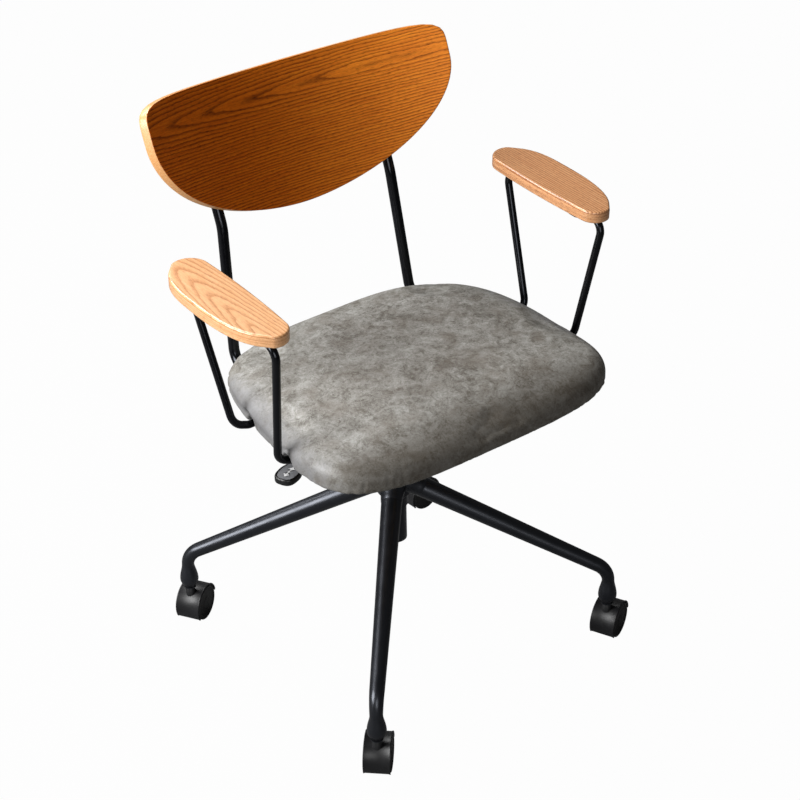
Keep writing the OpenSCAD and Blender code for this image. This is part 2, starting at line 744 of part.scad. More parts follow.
module arm_plate_screws() {
    color(zinc) for (side = [-1, 1], p = arm_screws)
        translate([side * p[0], p[1], board_z - arm_plate_t]) pan_screw(screw_d, board_t + arm_plate_t - 2);
}

// Lays its children on the sloping underside of the pads
module pad_frame() {
    translate([0, 0, pad_z]) rotate([pad_pitch, 0, 0]) children();
}

// Plan outline of a pad: a straight inner edge and one long outer sweep
pad_corner_front = 9;
pad_corner_rear = 16;
pad_n = 2.7;
function pad_outline(inset) = concat(
    [for (t = [-86 : 4 : 86])
        let (b = (t < 0 ? pad_front + pad_widest : pad_rear - pad_widest) - inset)
        let (r = oval_r(pad_w - inset, b, pad_n, t))
        [r * cos(t), pad_widest + r * sin(t)]],
    [for (a = [90 : 22.5 : 180])
        [pad_corner_rear + (pad_corner_rear - inset) * cos(a),
            pad_rear - pad_corner_rear + (pad_corner_rear - inset) * sin(a)]],
    [for (a = [180 : 22.5 : 270])
        [pad_corner_front + (pad_corner_front - inset) * cos(a),
            -pad_front + pad_corner_front + (pad_corner_front - inset) * sin(a)]]
);

module armrest(side) {
    r = pad_edge_r;
    color(ash) pad_frame() difference() {
        translate([side * pad_x, 0, 0]) scale([side, 1, 1]) hull() {
            linear_extrude(eps) polygon(pad_outline(r));
            translate([0, 0, r * 0.3]) linear_extrude(eps) polygon(pad_outline(r * 0.3));
            translate([0, 0, r]) linear_extrude(pad_t - 2 * r) polygon(pad_outline(0));
            translate([0, 0, pad_t - r * 0.3]) linear_extrude(eps) polygon(pad_outline(r * 0.3));
            translate([0, 0, pad_t - eps]) linear_extrude(eps) polygon(pad_outline(r));
        }
        for (y = tab_y) translate([side * (arm_x_high - tab_hole), y, -1])
            cylinder(d = wood_screw_d + 2 * fit, h = wood_screw_l + 1.2, $fn = 32);
    }
}

module armrest_tabs() {
    color(steel_black) pad_frame() for (side = [-1, 1], y = tab_y) difference() {
        translate([side * (arm_x_high - tab_hole + 4), y, -tab_t - 0.05]) linear_extrude(tab_t)
            round_rect(tab_w, tab_l, 4);
        translate([side * (arm_x_high - tab_hole), y, -20])
            cylinder(d = wood_screw_d + 0.4, h = 40, $fn = 32);
        translate([side * arm_x_high, y - 40, -arm_drop]) rotate([-90, 0, 0])
            cylinder(d = arm_rod_d + 2 * fit, h = 80);
    }
}

module armrest_screws() {
    color(zinc) pad_frame() for (side = [-1, 1], y = tab_y)
        translate([side * (arm_x_high - tab_hole), y, -tab_t - 0.05]) {
            translate([0, 0, -2.2]) cylinder(d1 = 5, d2 = 7.5, h = 2.2);
            cylinder(d = wood_screw_d, h = tab_t + wood_screw_l);
        }
}

// Backrest and its uprights

// Lays its children in the frame of the backrest: x across, y rearward, z up the slope
module back_frame() {
    translate([0, back_y, back_z]) rotate([-back_tilt, 0, 0]) children();
}
function back_point(p) = [
    p[0],
    back_y + p[1] * cos(back_tilt) + p[2] * sin(back_tilt),
    back_z - p[1] * sin(back_tilt) + p[2] * cos(back_tilt)
];

function upright_corners(side) = [
    [side * upright_x_low, upright_run_y, upright_z],
    [side * upright_x_low, upright_y, upright_z],
    back_point([side * upright_x_high, upright_off, 3]),
    back_point([side * upright_x_high, upright_off, upright_rise])
];

module upright(side) {
    corners = upright_corners(side);
    bore = upright_d - 2 * upright_wall;
    color(steel_black) difference() {
        bent_rod(corners, [upright_bend_r, 80], upright_d);
        bent_rod([corners[0] - [0, 1, 0], corners[1], corners[2],
                back_point([side * upright_x_high, upright_off, upright_rise + 1])],
            [upright_bend_r, 80], bore);
        for (y = upright_screw_y) translate([side * upright_x_low, y, 0])
            cylinder(d = screw_d + 0.5, h = board_z);
        back_frame() for (z = back_screw_rise) translate([side * upright_x_high, -30, z]) rotate([-90, 0, 0])
            cylinder(d = back_screw_d + 0.5, h = 60);
    }
}

module upright_screws() {
    color(zinc) for (side = [-1, 1], y = upright_screw_y)
        translate([side * upright_x_low, y, upright_z - upright_d / 2]) pan_screw(screw_d, upright_d + board_t - 1);
}

module upright_plugs() {
    plug_d = (upright_d - 2 * upright_wall) * cos(180 / rod_sides) - 2 * fit;
    color(nylon_black) for (side = [-1, 1]) {
        back_frame() translate([side * upright_x_high, upright_off, upright_rise]) union() {
            translate([0, 0, -8]) cylinder(d = plug_d, h = 8 + eps);
            cylinder(d = upright_d, h = 1);
            translate([0, 0, 1]) cylinder(d1 = upright_d, d2 = upright_d - 4, h = 1.5);
        }
        translate([side * upright_x_low, upright_run_y, upright_z]) rotate([90, 0, 0]) union() {
            translate([0, 0, -8]) cylinder(d = plug_d, h = 8 + eps);
            cylinder(d = upright_d, h = 1);
            translate([0, 0, 1]) cylinder(d1 = upright_d, d2 = upright_d - 4, h = 1.5);
        }
    }
}

// A point of the shell from its arc length, its height and its depth behind the front face
function shell_point(s, z, depth) =
    let (a = s / back_r * 180 / PI)
    [(back_r + depth) * sin(a), (back_r + depth) * cos(a) - back_r, z];

function back_ring(inset, depth, shrink = 1, m = 80) =
    [for (i = [0 : m - 1])
        let (t = i * 360 / m)
        let (up = sin(t) > 0)
        let (r = oval_r(back_w / 2 - inset, (up ? back_h - back_widest : back_widest) - inset,
            up ? back_top_n : back_bottom_n, t))
        shell_point(r * cos(t) * shrink, back_widest + r * sin(t) * shrink, depth)];

module backrest() {
    e = back_edge_r;
    rings = concat(
        [for (s = [0.15, 0.4, 0.65, 0.85]) back_ring(e, back_t, s)],
        [back_ring(e, back_t), back_ring(e * 0.3, back_t - e * 0.3), back_ring(0, back_t - e),
            back_ring(0, e), back_ring(e * 0.3, e * 0.3), back_ring(e, 0)],
        [for (s = [0.85, 0.65, 0.4, 0.15]) back_ring(e, 0, s)]
    );
    color(walnut_stain) back_frame() difference() {
        skin(rings);
        for (side = [-1, 1], z = back_screw_rise)
            translate([side * upright_x_high, back_t + upright_off, z]) rotate([90, 0, 0])
                cylinder(d = back_screw_d + 2 * fit, h = back_screw_reach + 0.2, $fn = 32);
    }
}

// Depth of the shell's back face at the uprights, in the backrest's frame
back_face = sqrt(pow(back_r + back_t, 2) - pow(upright_x_high, 2)) - back_r;
back_screw_reach = back_t + upright_off - (back_face - back_screw_depth);

module backrest_spacers() {
    // The spacer ends on the plane that touches the shell's back at the upright
    lean = asin(upright_x_high / (back_r + back_t));
    color(nylon_black) back_frame() for (side = [-1, 1], z = back_screw_rise) difference() {
        translate([side * upright_x_high, upright_off, z]) rotate([90, 0, 0])
            cylinder(d = 13, h = upright_off - back_face + 3);
        translate([side * upright_x_high, back_face + 0.05, z]) rotate([0, 0, -side * lean])
            translate([-20, -20, -20]) cube([40, 20, 40]);
        translate([side * upright_x_high, upright_off, z - 20]) cylinder(d = upright_d + 2 * fit, h = 40);
        translate([side * upright_x_high, 40, z]) rotate([90, 0, 0]) cylinder(d = back_screw_d + 0.5, h = 80);
    }
}

module backrest_screws() {
    rear = upright_off + upright_d / 2;
    color(zinc) back_frame() for (side = [-1, 1], z = back_screw_rise)
        translate([side * upright_x_high, rear, z]) rotate([90, 0, 0]) {
            translate([0, 0, -2.6]) cylinder(d1 = 6, d2 = 9.5, h = 2.6);
            cylinder(d = back_screw_d, h = rear - back_face + back_screw_depth);
        }
}

// Casters: each is built with its stem on the z axis and its axle behind it in +x

module at_caster(k) {
    rotate([0, 0, base_turn + 90 * k]) translate([base_r, 0, 0])
        rotate([0, 0, caster_turn[k] - base_turn - 90 * k]) children();
}

module on_axle() {
    translate([caster_trail, 0, wheel_r]) rotate([90, 0, 0]) children();
}

// Sector of the hood, from low at the front over the top to the back
function hood_sector(r) = concat([[0, 0]],
    [for (a = [hood_low : (hood_back - hood_low) / 8 : hood_back]) [-r * cos(a), r * sin(a)]]);

module caster_hood(k) {
    half_w = wheel_w / 2 + 0.5;
    color(nylon_black) at_caster(k) difference() {
        union() {
            on_axle() intersection() {
                difference() {
                    cylinder(r = hood_out, h = 2 * half_w, center = true);
                    difference() {
                        cylinder(r = hood_in, h = 4 * half_w, center = true);
                        cylinder(r = hood_in + 1, h = web_t, center = true);
                    }
                }
                linear_extrude(height = 4 * half_w, center = true) polygon(hood_sector(2 * hood_out));
            }
            on_axle() cylinder(r = wheel_hub_d / 2, h = web_t, center = true);
            translate([0, 0, wheel_r + 10]) cylinder(d = boss_d, h = boss_top - wheel_r - 10);
        }
        on_axle() cylinder(d = axle_d + 2 * fit, h = 60, center = true);
        translate([0, 0, wheel_r + 14]) cylinder(d = stem_d + 2 * fit, h = 60);
    }
}

module caster_stem(k) {
    color(bright_steel) at_caster(k) {
        translate([0, 0, wheel_r + 14]) cylinder(d = stem_d, h = socket_z + stem_l - 1 - wheel_r - 14);
        translate([0, 0, socket_z + stem_l - 1]) cylinder(d1 = stem_d, d2 = stem_d - 3, h = 1.5);
        translate([0, 0, boss_top]) cylinder(d = collar_d, h = collar_t);
    }
}

module caster_axle(k) {
    color(zinc) at_caster(k) on_axle() cylinder(d = axle_d, h = wheel_w - 2 * disc_t - 1, center = true);
}

module caster_wheel(k, side) {
    face = wheel_w / 2;
    color(nylon_black) at_caster(k) on_axle() scale([1, 1, side]) difference() {
        rotate_extrude() polygon([
            [0, web_t / 2 + seat_gap], [wheel_hub_d / 2, web_t / 2 + seat_gap],
            [wheel_hub_d / 2, face - disc_t], [wheel_r - rim_t, face - disc_t],
            [wheel_r - rim_t, rim_in], [wheel_r - 1, rim_in], [wheel_r, rim_in + 1],
            [wheel_r, face - 1.6], [wheel_r - 1.6, face], [wheel_r - 7, face],
            [wheel_r - 8, face - 0.8], [9, face - 0.8], [8, face], [0, face]
        ]);
        cylinder(d = axle_d + 2 * fit, h = face - disc_t - 0.2);
    }
}

base_hub();
leg(0);  // leg_front_right
leg(1);  // leg_front_left
leg(2);  // leg_rear_left
leg(3);  // leg_rear_right
column_tube();
guide_bush();
thrust_bearing();
retaining_clip();
piston_rod();
pressure_tube();
valve_button();
seat_plate();
lift_housing();
lever_pin();
lever_rod();
lever_paddle();
seat_plate_screws();
seat_board();
tee_nuts();
seat_cushion();
arm_hoop(1);  // arm_hoop_left
arm_hoop(-1);  // arm_hoop_right
arm_plate(1);  // arm_plate_left
arm_plate(-1);  // arm_plate_right
arm_plate_screws();
armrest(1);  // armrest_left
armrest(-1);  // armrest_right
armrest_tabs();
armrest_screws();
upright(1);  // upright_left
upright(-1);  // upright_right
upright_screws();
upright_plugs();
backrest();
backrest_spacers();
backrest_screws();
for (k = [0 : 3]) {
    caster_hood(k);
    caster_stem(k);
    caster_axle(k);
    caster_wheel(k, 1);
    caster_wheel(k, -1);
}
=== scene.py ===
"""Office armchair: stained plywood back, coated-leather seat, ash armrests on bent black rod.

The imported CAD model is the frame. This script dresses it: smooth tubes, legs and casters, a
padded seat, veneered wood and the small fasteners, all in metres in the same frame.
"""

from __future__ import annotations

import json
import logging
import math
from dataclasses import dataclass, field, replace
from enum import Enum
from typing import Any, Optional, Sequence

import bpy
import numpy as np
from mathutils import Matrix, Vector

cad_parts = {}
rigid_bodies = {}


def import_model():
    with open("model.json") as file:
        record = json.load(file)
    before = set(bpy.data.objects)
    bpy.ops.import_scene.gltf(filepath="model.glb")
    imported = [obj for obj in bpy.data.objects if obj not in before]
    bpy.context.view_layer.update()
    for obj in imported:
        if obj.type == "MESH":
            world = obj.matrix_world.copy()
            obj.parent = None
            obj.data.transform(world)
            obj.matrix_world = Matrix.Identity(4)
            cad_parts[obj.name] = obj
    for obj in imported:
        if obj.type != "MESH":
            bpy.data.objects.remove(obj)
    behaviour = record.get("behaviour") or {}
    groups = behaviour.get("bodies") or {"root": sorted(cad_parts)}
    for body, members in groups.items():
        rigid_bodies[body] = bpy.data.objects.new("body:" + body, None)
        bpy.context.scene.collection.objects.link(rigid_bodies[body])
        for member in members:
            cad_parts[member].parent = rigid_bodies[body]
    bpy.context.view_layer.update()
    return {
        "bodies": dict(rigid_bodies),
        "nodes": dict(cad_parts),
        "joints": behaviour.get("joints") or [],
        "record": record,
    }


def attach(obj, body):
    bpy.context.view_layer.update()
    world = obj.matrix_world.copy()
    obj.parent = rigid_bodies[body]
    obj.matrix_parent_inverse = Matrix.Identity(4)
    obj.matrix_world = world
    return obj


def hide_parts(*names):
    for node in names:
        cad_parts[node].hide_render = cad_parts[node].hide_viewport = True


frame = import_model()

LOG = logging.getLogger("armchair")
MM = 0.001
SEED = 20
# Angles above which an edge stays sharp: on most pieces, and on the small repeated ones
SHARP_DEG = 40.0
SHARP_DEG_SMALL = 35.0

Array = np.ndarray
Inputs = dict[Any, Any]
Material = bpy.types.Material
Node = bpy.types.Node
Piece = bpy.types.Object
Socket = bpy.types.NodeSocket
Tree = bpy.types.NodeTree
Profile = Sequence[tuple[float, float]]
Places = list[tuple[Sequence[float], Sequence[float], Sequence[float]]]


class Named(Enum):
    """Members whose names end the names of pieces."""

    @property
    def word(self) -> str:
        """The name as it ends a piece's name."""
        return self.name.lower()


class Side(Named):
    """Which side of the sitter a piece is on, as the sign of its x."""

    LEFT = 1
    RIGHT = -1


class Corner(Named):
    """The four legs, in the order in which they turn round the hub."""

    FRONT_RIGHT = 0
    FRONT_LEFT = 1
    REAR_LEFT = 2
    REAR_RIGHT = 3


# ---------------------------------------------------------------------------------------
# Colour and nodes

# The kinds of node that most finishes are made of
MATH = "ShaderNodeMath"
VECTOR = "ShaderNodeVectorMath"
NOISE = "ShaderNodeTexNoise"
RANGE = "ShaderNodeMapRange"
MIX = "ShaderNodeMix"
RAMP = "ShaderNodeValToRGB"
SPLIT = "ShaderNodeSeparateXYZ"


def linear(colour: str, alpha: float = 1.0) -> tuple[float, float, float, float]:
    """Turns an sRGB hex colour to the linear values that a shader takes.

    Args:
        colour: Seven characters, such as "#85847c".
        alpha: The fourth value.

    Returns:
        Red, green, blue and alpha.
    """
    parts = [int(colour[i : i + 2], 16) / 255 for i in (1, 3, 5)]
    r, g, b = (c / 12.92 if c <= 0.04045 else ((c + 0.055) / 1.055) ** 2.4 for c in parts)
    return r, g, b, alpha


def join(node: Node, inputs: Inputs) -> None:
    """Sets a node's inputs.

    Args:
        node: The node.
        inputs: Socket name or number to a value, to the output that feeds it, or to a node,
            which stands for its first output in use.
    """
    for key, value in inputs.items():
        if isinstance(value, Node):
            value = next(socket for socket in value.outputs if socket.enabled)
        if isinstance(value, Socket):
            node.id_data.links.new(value, node.inputs[key])
        else:
            node.inputs[key].default_value = value


def set_stops(ramp: bpy.types.ColorRamp, stops: Sequence[tuple[float, Any]]) -> None:
    """Sets the stops of a colour ramp.

    Args:
        ramp: The ramp.
        stops: Position and either a grey level or a hex colour, in order.
    """
    while len(ramp.elements) < len(stops):
        ramp.elements.new(0.5)
    for element, (place, value) in zip(ramp.elements, stops):
        element.position = place
        element.color = linear(value) if isinstance(value, str) else (value, value, value, 1.0)


def add(tree: Tree, kind: str, inputs: Optional[Inputs] = None, **settings: Any) -> Node:
    """Adds a node with its settings and inputs.

    Args:
        tree: The tree that gets the node.
        kind: The node's type name.
        inputs: What join takes.
        **settings: Properties of the node, such as operation="ADD", or the stops of its ramp.

    Returns:
        The new node.
    """
    made = tree.nodes.new(kind)
    for key, value in settings.items():
        if key == "stops":
            set_stops(made.color_ramp, value)
        else:
            setattr(made, key, value)
    join(made, inputs or {})
    return made


def drawn_out(tree: Tree, place: Socket, scale: tuple[float, float, float], **noise: float) -> Node:
    """A noise that is longer one way than the others, as fibres are.

    Args:
        tree: The material's tree.
        place: The coordinates.
        scale: How many steps of the noise a metre holds along each axis.
        **noise: Inputs of the noise.

    Returns:
        The noise.
    """
    scaled = add(tree, VECTOR, {0: place, 1: scale}, operation="MULTIPLY")
    return add(tree, NOISE, {"Vector": scaled, "Scale": 1.0, **noise})


def coat(tree: Tree, colour: Any, rough: Any, relief: Any, strength: float, depth: float,
         more: Optional[Inputs] = None) -> None:
    """Joins a finish to the shader of its material.

    Args:
        tree: The material's tree.
        colour: What gives the base colour.
        rough: What gives the roughness.
        relief: What gives the height of the surface.
        strength: How strongly the relief shows.
        depth: Its depth in metres.
        more: Further inputs of the shader.
    """
    bump = add(tree, "ShaderNodeBump", {"Strength": strength, "Distance": depth, "Height": relief})
    join(tree.nodes["Principled BSDF"], {"Base Color": colour, "Roughness": rough, "Normal": bump,
                                         **(more or {})})


# ---------------------------------------------------------------------------------------
# Finishes


@dataclass(frozen=True)
class Finish:
    """A material of the chair."""

    name: str

    def build(self) -> Material:
        """Makes the material."""
        material = bpy.data.materials.new(self.name)
        material.use_nodes = True
        self.paint(material.node_tree)
        return material

    def paint(self, tree: Tree) -> None:
        """Adds the nodes of the finish."""


@dataclass(frozen=True)
class PowderCoat(Finish):
    """Powder-coated steel: near-black, with a fine orange peel that breaks up its highlights."""

    colour: str
    roughness: float = 0.34
    peel_mm: float = 0.9
    peel_depth: float = 0.10
    shine: float = 0.42

    def paint(self, tree: Tree) -> None:
        """Adds the nodes."""
        place = add(tree, "ShaderNodeTexCoord").outputs["Object"]
        peel = add(tree, NOISE, {"Vector": place, "Scale": 1 / (self.peel_mm * MM), "Detail": 2.0})
        dust = add(tree, NOISE, {"Vector": place, "Scale": 55.0, "Detail": 5.0})
        rough = add(tree, RANGE, {"Value": dust, "From Min": 0.3, "From Max": 0.7,
                                  "To Min": self.roughness - 0.04, "To Max": self.roughness + 0.05})
        colour = linear(self.colour)
        worn = tuple(1.25 * c for c in colour[:3]) + (1.0,)
        tint = add(tree, MIX, {"Factor": dust, "A": colour, "B": worn}, data_type="RGBA")
        cool = {"Specular IOR Level": self.shine, "Specular Tint": linear("#d9deea")}
        coat(tree, tint, rough, peel, self.peel_depth, 0.3 * MM, cool)


@dataclass(frozen=True)
class MouldedNylon(Finish):
    """Injection-moulded nylon: a satin black with a fine spark-eroded grain."""

    colour: str
    roughness: float = 0.42
    grain_mm: float = 0.6

    def paint(self, tree: Tree) -> None:
        """Adds the nodes."""
        place = add(tree, "ShaderNodeTexCoord").outputs["Object"]
        grain = add(tree, NOISE, {"Vector": place, "Scale": 1 / (self.grain_mm * MM), "Detail": 3.0})
        scuff = add(tree, NOISE, {"Vector": place, "Scale": 90.0, "Detail": 4.0, "Distortion": 0.4})
        colour = add(tree, RAMP, {"Fac": scuff},
                     stops=[(0.35, self.colour), (0.75, lighter(self.colour, 1.22))])
        rough = add(tree, RANGE, {"Value": scuff, "To Min": self.roughness - 0.06,
                                  "To Max": self.roughness + 0.08})
        coat(tree, colour, rough, grain, 0.12, 0.2 * MM)


@dataclass(frozen=True)
class WorkedSteel(Finish):
    """Bare or zinc-plated steel: metal with turning marks and a faint cloudiness from handling."""

    colour: str
    roughness: float = 0.3
    mark_mm: float = 0.35

    def paint(self, tree: Tree) -> None:
        """Adds the nodes."""
        place = add(tree, "ShaderNodeTexCoord").outputs["Object"]
        rings = add(tree, "ShaderNodeTexWave", {"Vector": place, "Scale": 0.16 / (self.mark_mm * MM),
                                                "Distortion": 0.6}, wave_type="BANDS", bands_direction="Z")
        cloud = add(tree, NOISE, {"Vector": place, "Scale": 70.0, "Detail": 4.0})
        colour = add(tree, RAMP, {"Fac": cloud}, stops=[(0.3, lighter(self.colour, 0.8)), (0.7, self.colour)])
        rough = add(tree, RANGE, {"Value": cloud, "To Min": self.roughness - 0.06,
                                  "To Max": self.roughness + 0.1})
        coat(tree, colour, rough, rings.outputs["Fac"], 0.08, 0.1 * MM, {"Metallic": 1.0})


@dataclass(frozen=True)
class CutWood(Finish):
    """Ash under satin lacquer: growth rings cut flat, each with a band of open pores.

    The rings are the distance from a trunk axis that lies along the grain, so a face that runs
    with the axis shows long arches and an edge shows straight lines.
    """

    base: str
    light: str
    line: str
    pore: str
    trunk: tuple[float, float, float]
    squeeze: float
    point: float = 1.8
    streaks: float = 1.0
    side_mm: float = 1000.0
    pore_band: tuple[float, float] = (0.50, 0.68)
    shaded_end_stain: tuple[float, float, float] = (1.0, 1.0, 1.0)
    lit_end_stain: tuple[float, float, float] = (1.0, 1.0, 1.0)
    ring_mm: float = 4.2
    wander_mm: float = 3.0
    ripple_mm: float = 1.1
    line_depth: float = 0.75
    roughness: float = 0.38
    coat: float = 0.15
    shine: float = 0.5

    def paint(self, tree: Tree) -> None:
        """Adds the nodes. Their coordinates are the grain map: along, across, depth."""
        grain = add(tree, "ShaderNodeAttribute", attribute_name="grain").outputs["Vector"]
        drift = drawn_out(tree, grain, (9.0, 48.0, 48.0), Detail=3.0, Roughness=0.55)
        ripple = drawn_out(tree, grain, (64.0, 210.0, 210.0), Detail=2.0)
        sway = 2.0 * self.wander_mm * MM
        moved = add(tree, VECTOR, {0: drift.outputs["Color"], 1: (0.0, sway, sway), 2: grain},
                    operation="MULTIPLY_ADD")
        wave = self.ripple_mm * MM
        waved = add(tree, VECTOR, {0: ripple.outputs["Color"], 1: (0.0, wave, wave), 2: moved},
                    operation="MULTIPLY_ADD")
        centre = (-self.trunk[0], -self.trunk[1] - sway / 2 - wave / 2, -self.trunk[2] - sway / 2 - wave / 2)
        from_trunk = add(tree, VECTOR, {0: waved, 1: centre}, operation="ADD")
        squeezed = add(tree, VECTOR, {0: from_trunk, 1: (self.squeeze, 1.0, 1.0)}, operation="MULTIPLY")
        # A pointed sum of the three distances, so the arches end in a soft V as they do in ash
        apart = add(tree, VECTOR, {0: squeezed}, operation="ABSOLUTE")
        parts = add(tree, SPLIT, {"Vector": apart})
        total: Any = 0.0
        for axis in "XYZ":
            power = add(tree, MATH, {0: parts.outputs[axis], 1: self.point}, operation="POWER")
            total = add(tree, MATH, {0: power, 1: total}, operation="ADD")
        radius = add(tree, MATH, {0: total, 1: 1 / self.point}, operation="POWER")
        phase = add(tree, MATH, {0: radius, 1: 1 / (self.ring_mm * MM)}, operation="MULTIPLY")
        turn = add(tree, MATH, {0: phase}, operation="FRACT")
        ring = add(tree, RAMP, {"Fac": turn}, stops=[(0.0, 1.0), (0.12, 0.8), (0.36, 0.22), (0.72, 0.0),
                                                     (0.93, 0.15), (1.0, 1.0)])
        # Pores: short dark strokes about 6 mm long and 0.6 mm wide, thickest in the dark band
        strokes = drawn_out(tree, grain, (150.0, 1500.0, 1500.0), Detail=1.0)
        pores = add(tree, RAMP, {"Fac": strokes}, stops=[(self.pore_band[0], 0.0), (self.pore_band[1], 1.0)])
        bands = drawn_out(tree, grain, (14.0, 420.0, 420.0), Detail=4.0)
        streaks = add(tree, RAMP, {"Fac": bands}, stops=[(0.32, 0.5 - 0.5 * self.streaks),
                                                         (0.7, 0.5 + 0.5 * self.streaks)])
        body = add(tree, MIX, {"Factor": streaks, "A": linear(self.base), "B": linear(self.light)},
                   data_type="RGBA")
        strength = add(tree, RANGE, {"Value": drift, "From Min": 0.3, "From Max": 0.7,
                                     "To Min": 0.68 * self.line_depth, "To Max": self.line_depth})
        lines = add(tree, MATH, {0: ring, 1: strength}, operation="MULTIPLY")
        # Below the rounded top edge the sawn side shows: a brown line first, then straight close layers
        depth = add(tree, SPLIT, {"Vector": grain}).outputs["Z"]
        below = add(tree, RANGE, {"Value": depth, "From Min": -(self.side_mm - 0.4) * MM,
                                  "From Max": -self.side_mm * MM})
        layers = drawn_out(tree, grain, (5.0, 14.0, 700.0), Detail=2.0)
        layer = add(tree, RAMP, {"Fac": layers}, stops=[(0.48, 0.0), (0.62, 0.5)])
        lines = add(tree, MIX, {"Factor": below, "A": lines, "B": layer})
        seam = add(tree, MATH, {0: depth, 1: -self.side_mm * MM, 2: 0.35 * MM}, operation="COMPARE")
        lines = add(tree, MATH, {0: lines, 1: seam}, operation="MAXIMUM")
        banded = add(tree, MIX, {"Factor": lines, "A": body, "B": linear(self.line)}, data_type="RGBA")
        in_band = add(tree, RANGE, {"Value": ring, "To Min": 0.28, "To Max": 0.85})
        amount = add(tree, MATH, {0: pores, 1: in_band}, operation="MULTIPLY")
        final = add(tree, MIX, {"Factor": amount, "A": banded, "B": linear(self.pore)}, data_type="RGBA")
        # Painted light and shade over the stain's colour: darker towards one end, lighter at the other, as
        # the curved shell looks with one end lit and the other in shade
        along = add(tree, SPLIT, {"Vector": moved}).outputs["X"]
        thin = add(tree, RANGE, {"Value": along, "From Min": -0.12, "From Max": 0.22},
                   interpolation_type="SMOOTHSTEP")
        stain_and_light = add(tree, MIX, {"Factor": thin, "A": self.shaded_end_stain, "B": self.lit_end_stain},
                    data_type="VECTOR")
        stained_and_lit = add(tree, VECTOR, {0: final, 1: stain_and_light}, operation="MULTIPLY")
        rough = add(tree, RANGE, {"Value": amount, "To Min": self.roughness, "To Max": self.roughness + 0.2})
        sunk = add(tree, MATH, {0: 1.0, 1: amount}, operation="SUBTRACT")
        lacquer = {"Specular IOR Level": self.shine, "Coat Weight": self.coat, "Coat Roughness": 0.24}
        coat(tree, stained_and_lit, rough, sunk, 0.25, 0.2 * MM, lacquer)


@dataclass(frozen=True)
class Plywood(Finish):
    """Raw birch plywood: pale faces with short flecks and darker glue lines on its edge."""

    base: str
    dark: str
    ply_mm: float = 1.5

    def paint(self, tree: Tree) -> None:
        """Adds the nodes."""
        place = add(tree, "ShaderNodeTexCoord").outputs["Object"]
        fleck = drawn_out(tree, place, (260.0, 18.0, 18.0), Detail=4.0)
        height = add(tree, SPLIT, {"Vector": place}).outputs["Z"]
        layer = add(tree, MATH, {0: height, 1: math.pi / (self.ply_mm * MM)}, operation="MULTIPLY")
        glue = add(tree, MATH, {0: layer}, operation="COSINE")
        edge = add(tree, RAMP, {"Fac": glue}, stops=[(0.0, 0.0), (0.7, 0.0), (0.95, 0.5)])
        body = add(tree, RAMP, {"Fac": fleck}, stops=[(0.3, self.dark), (0.65, self.base)])
        side = add(tree, MIX, {"Factor": edge, "A": body, "B": linear(self.dark)}, data_type="RGBA")
        coat(tree, side, 0.65, fleck, 0.2, 0.2 * MM)


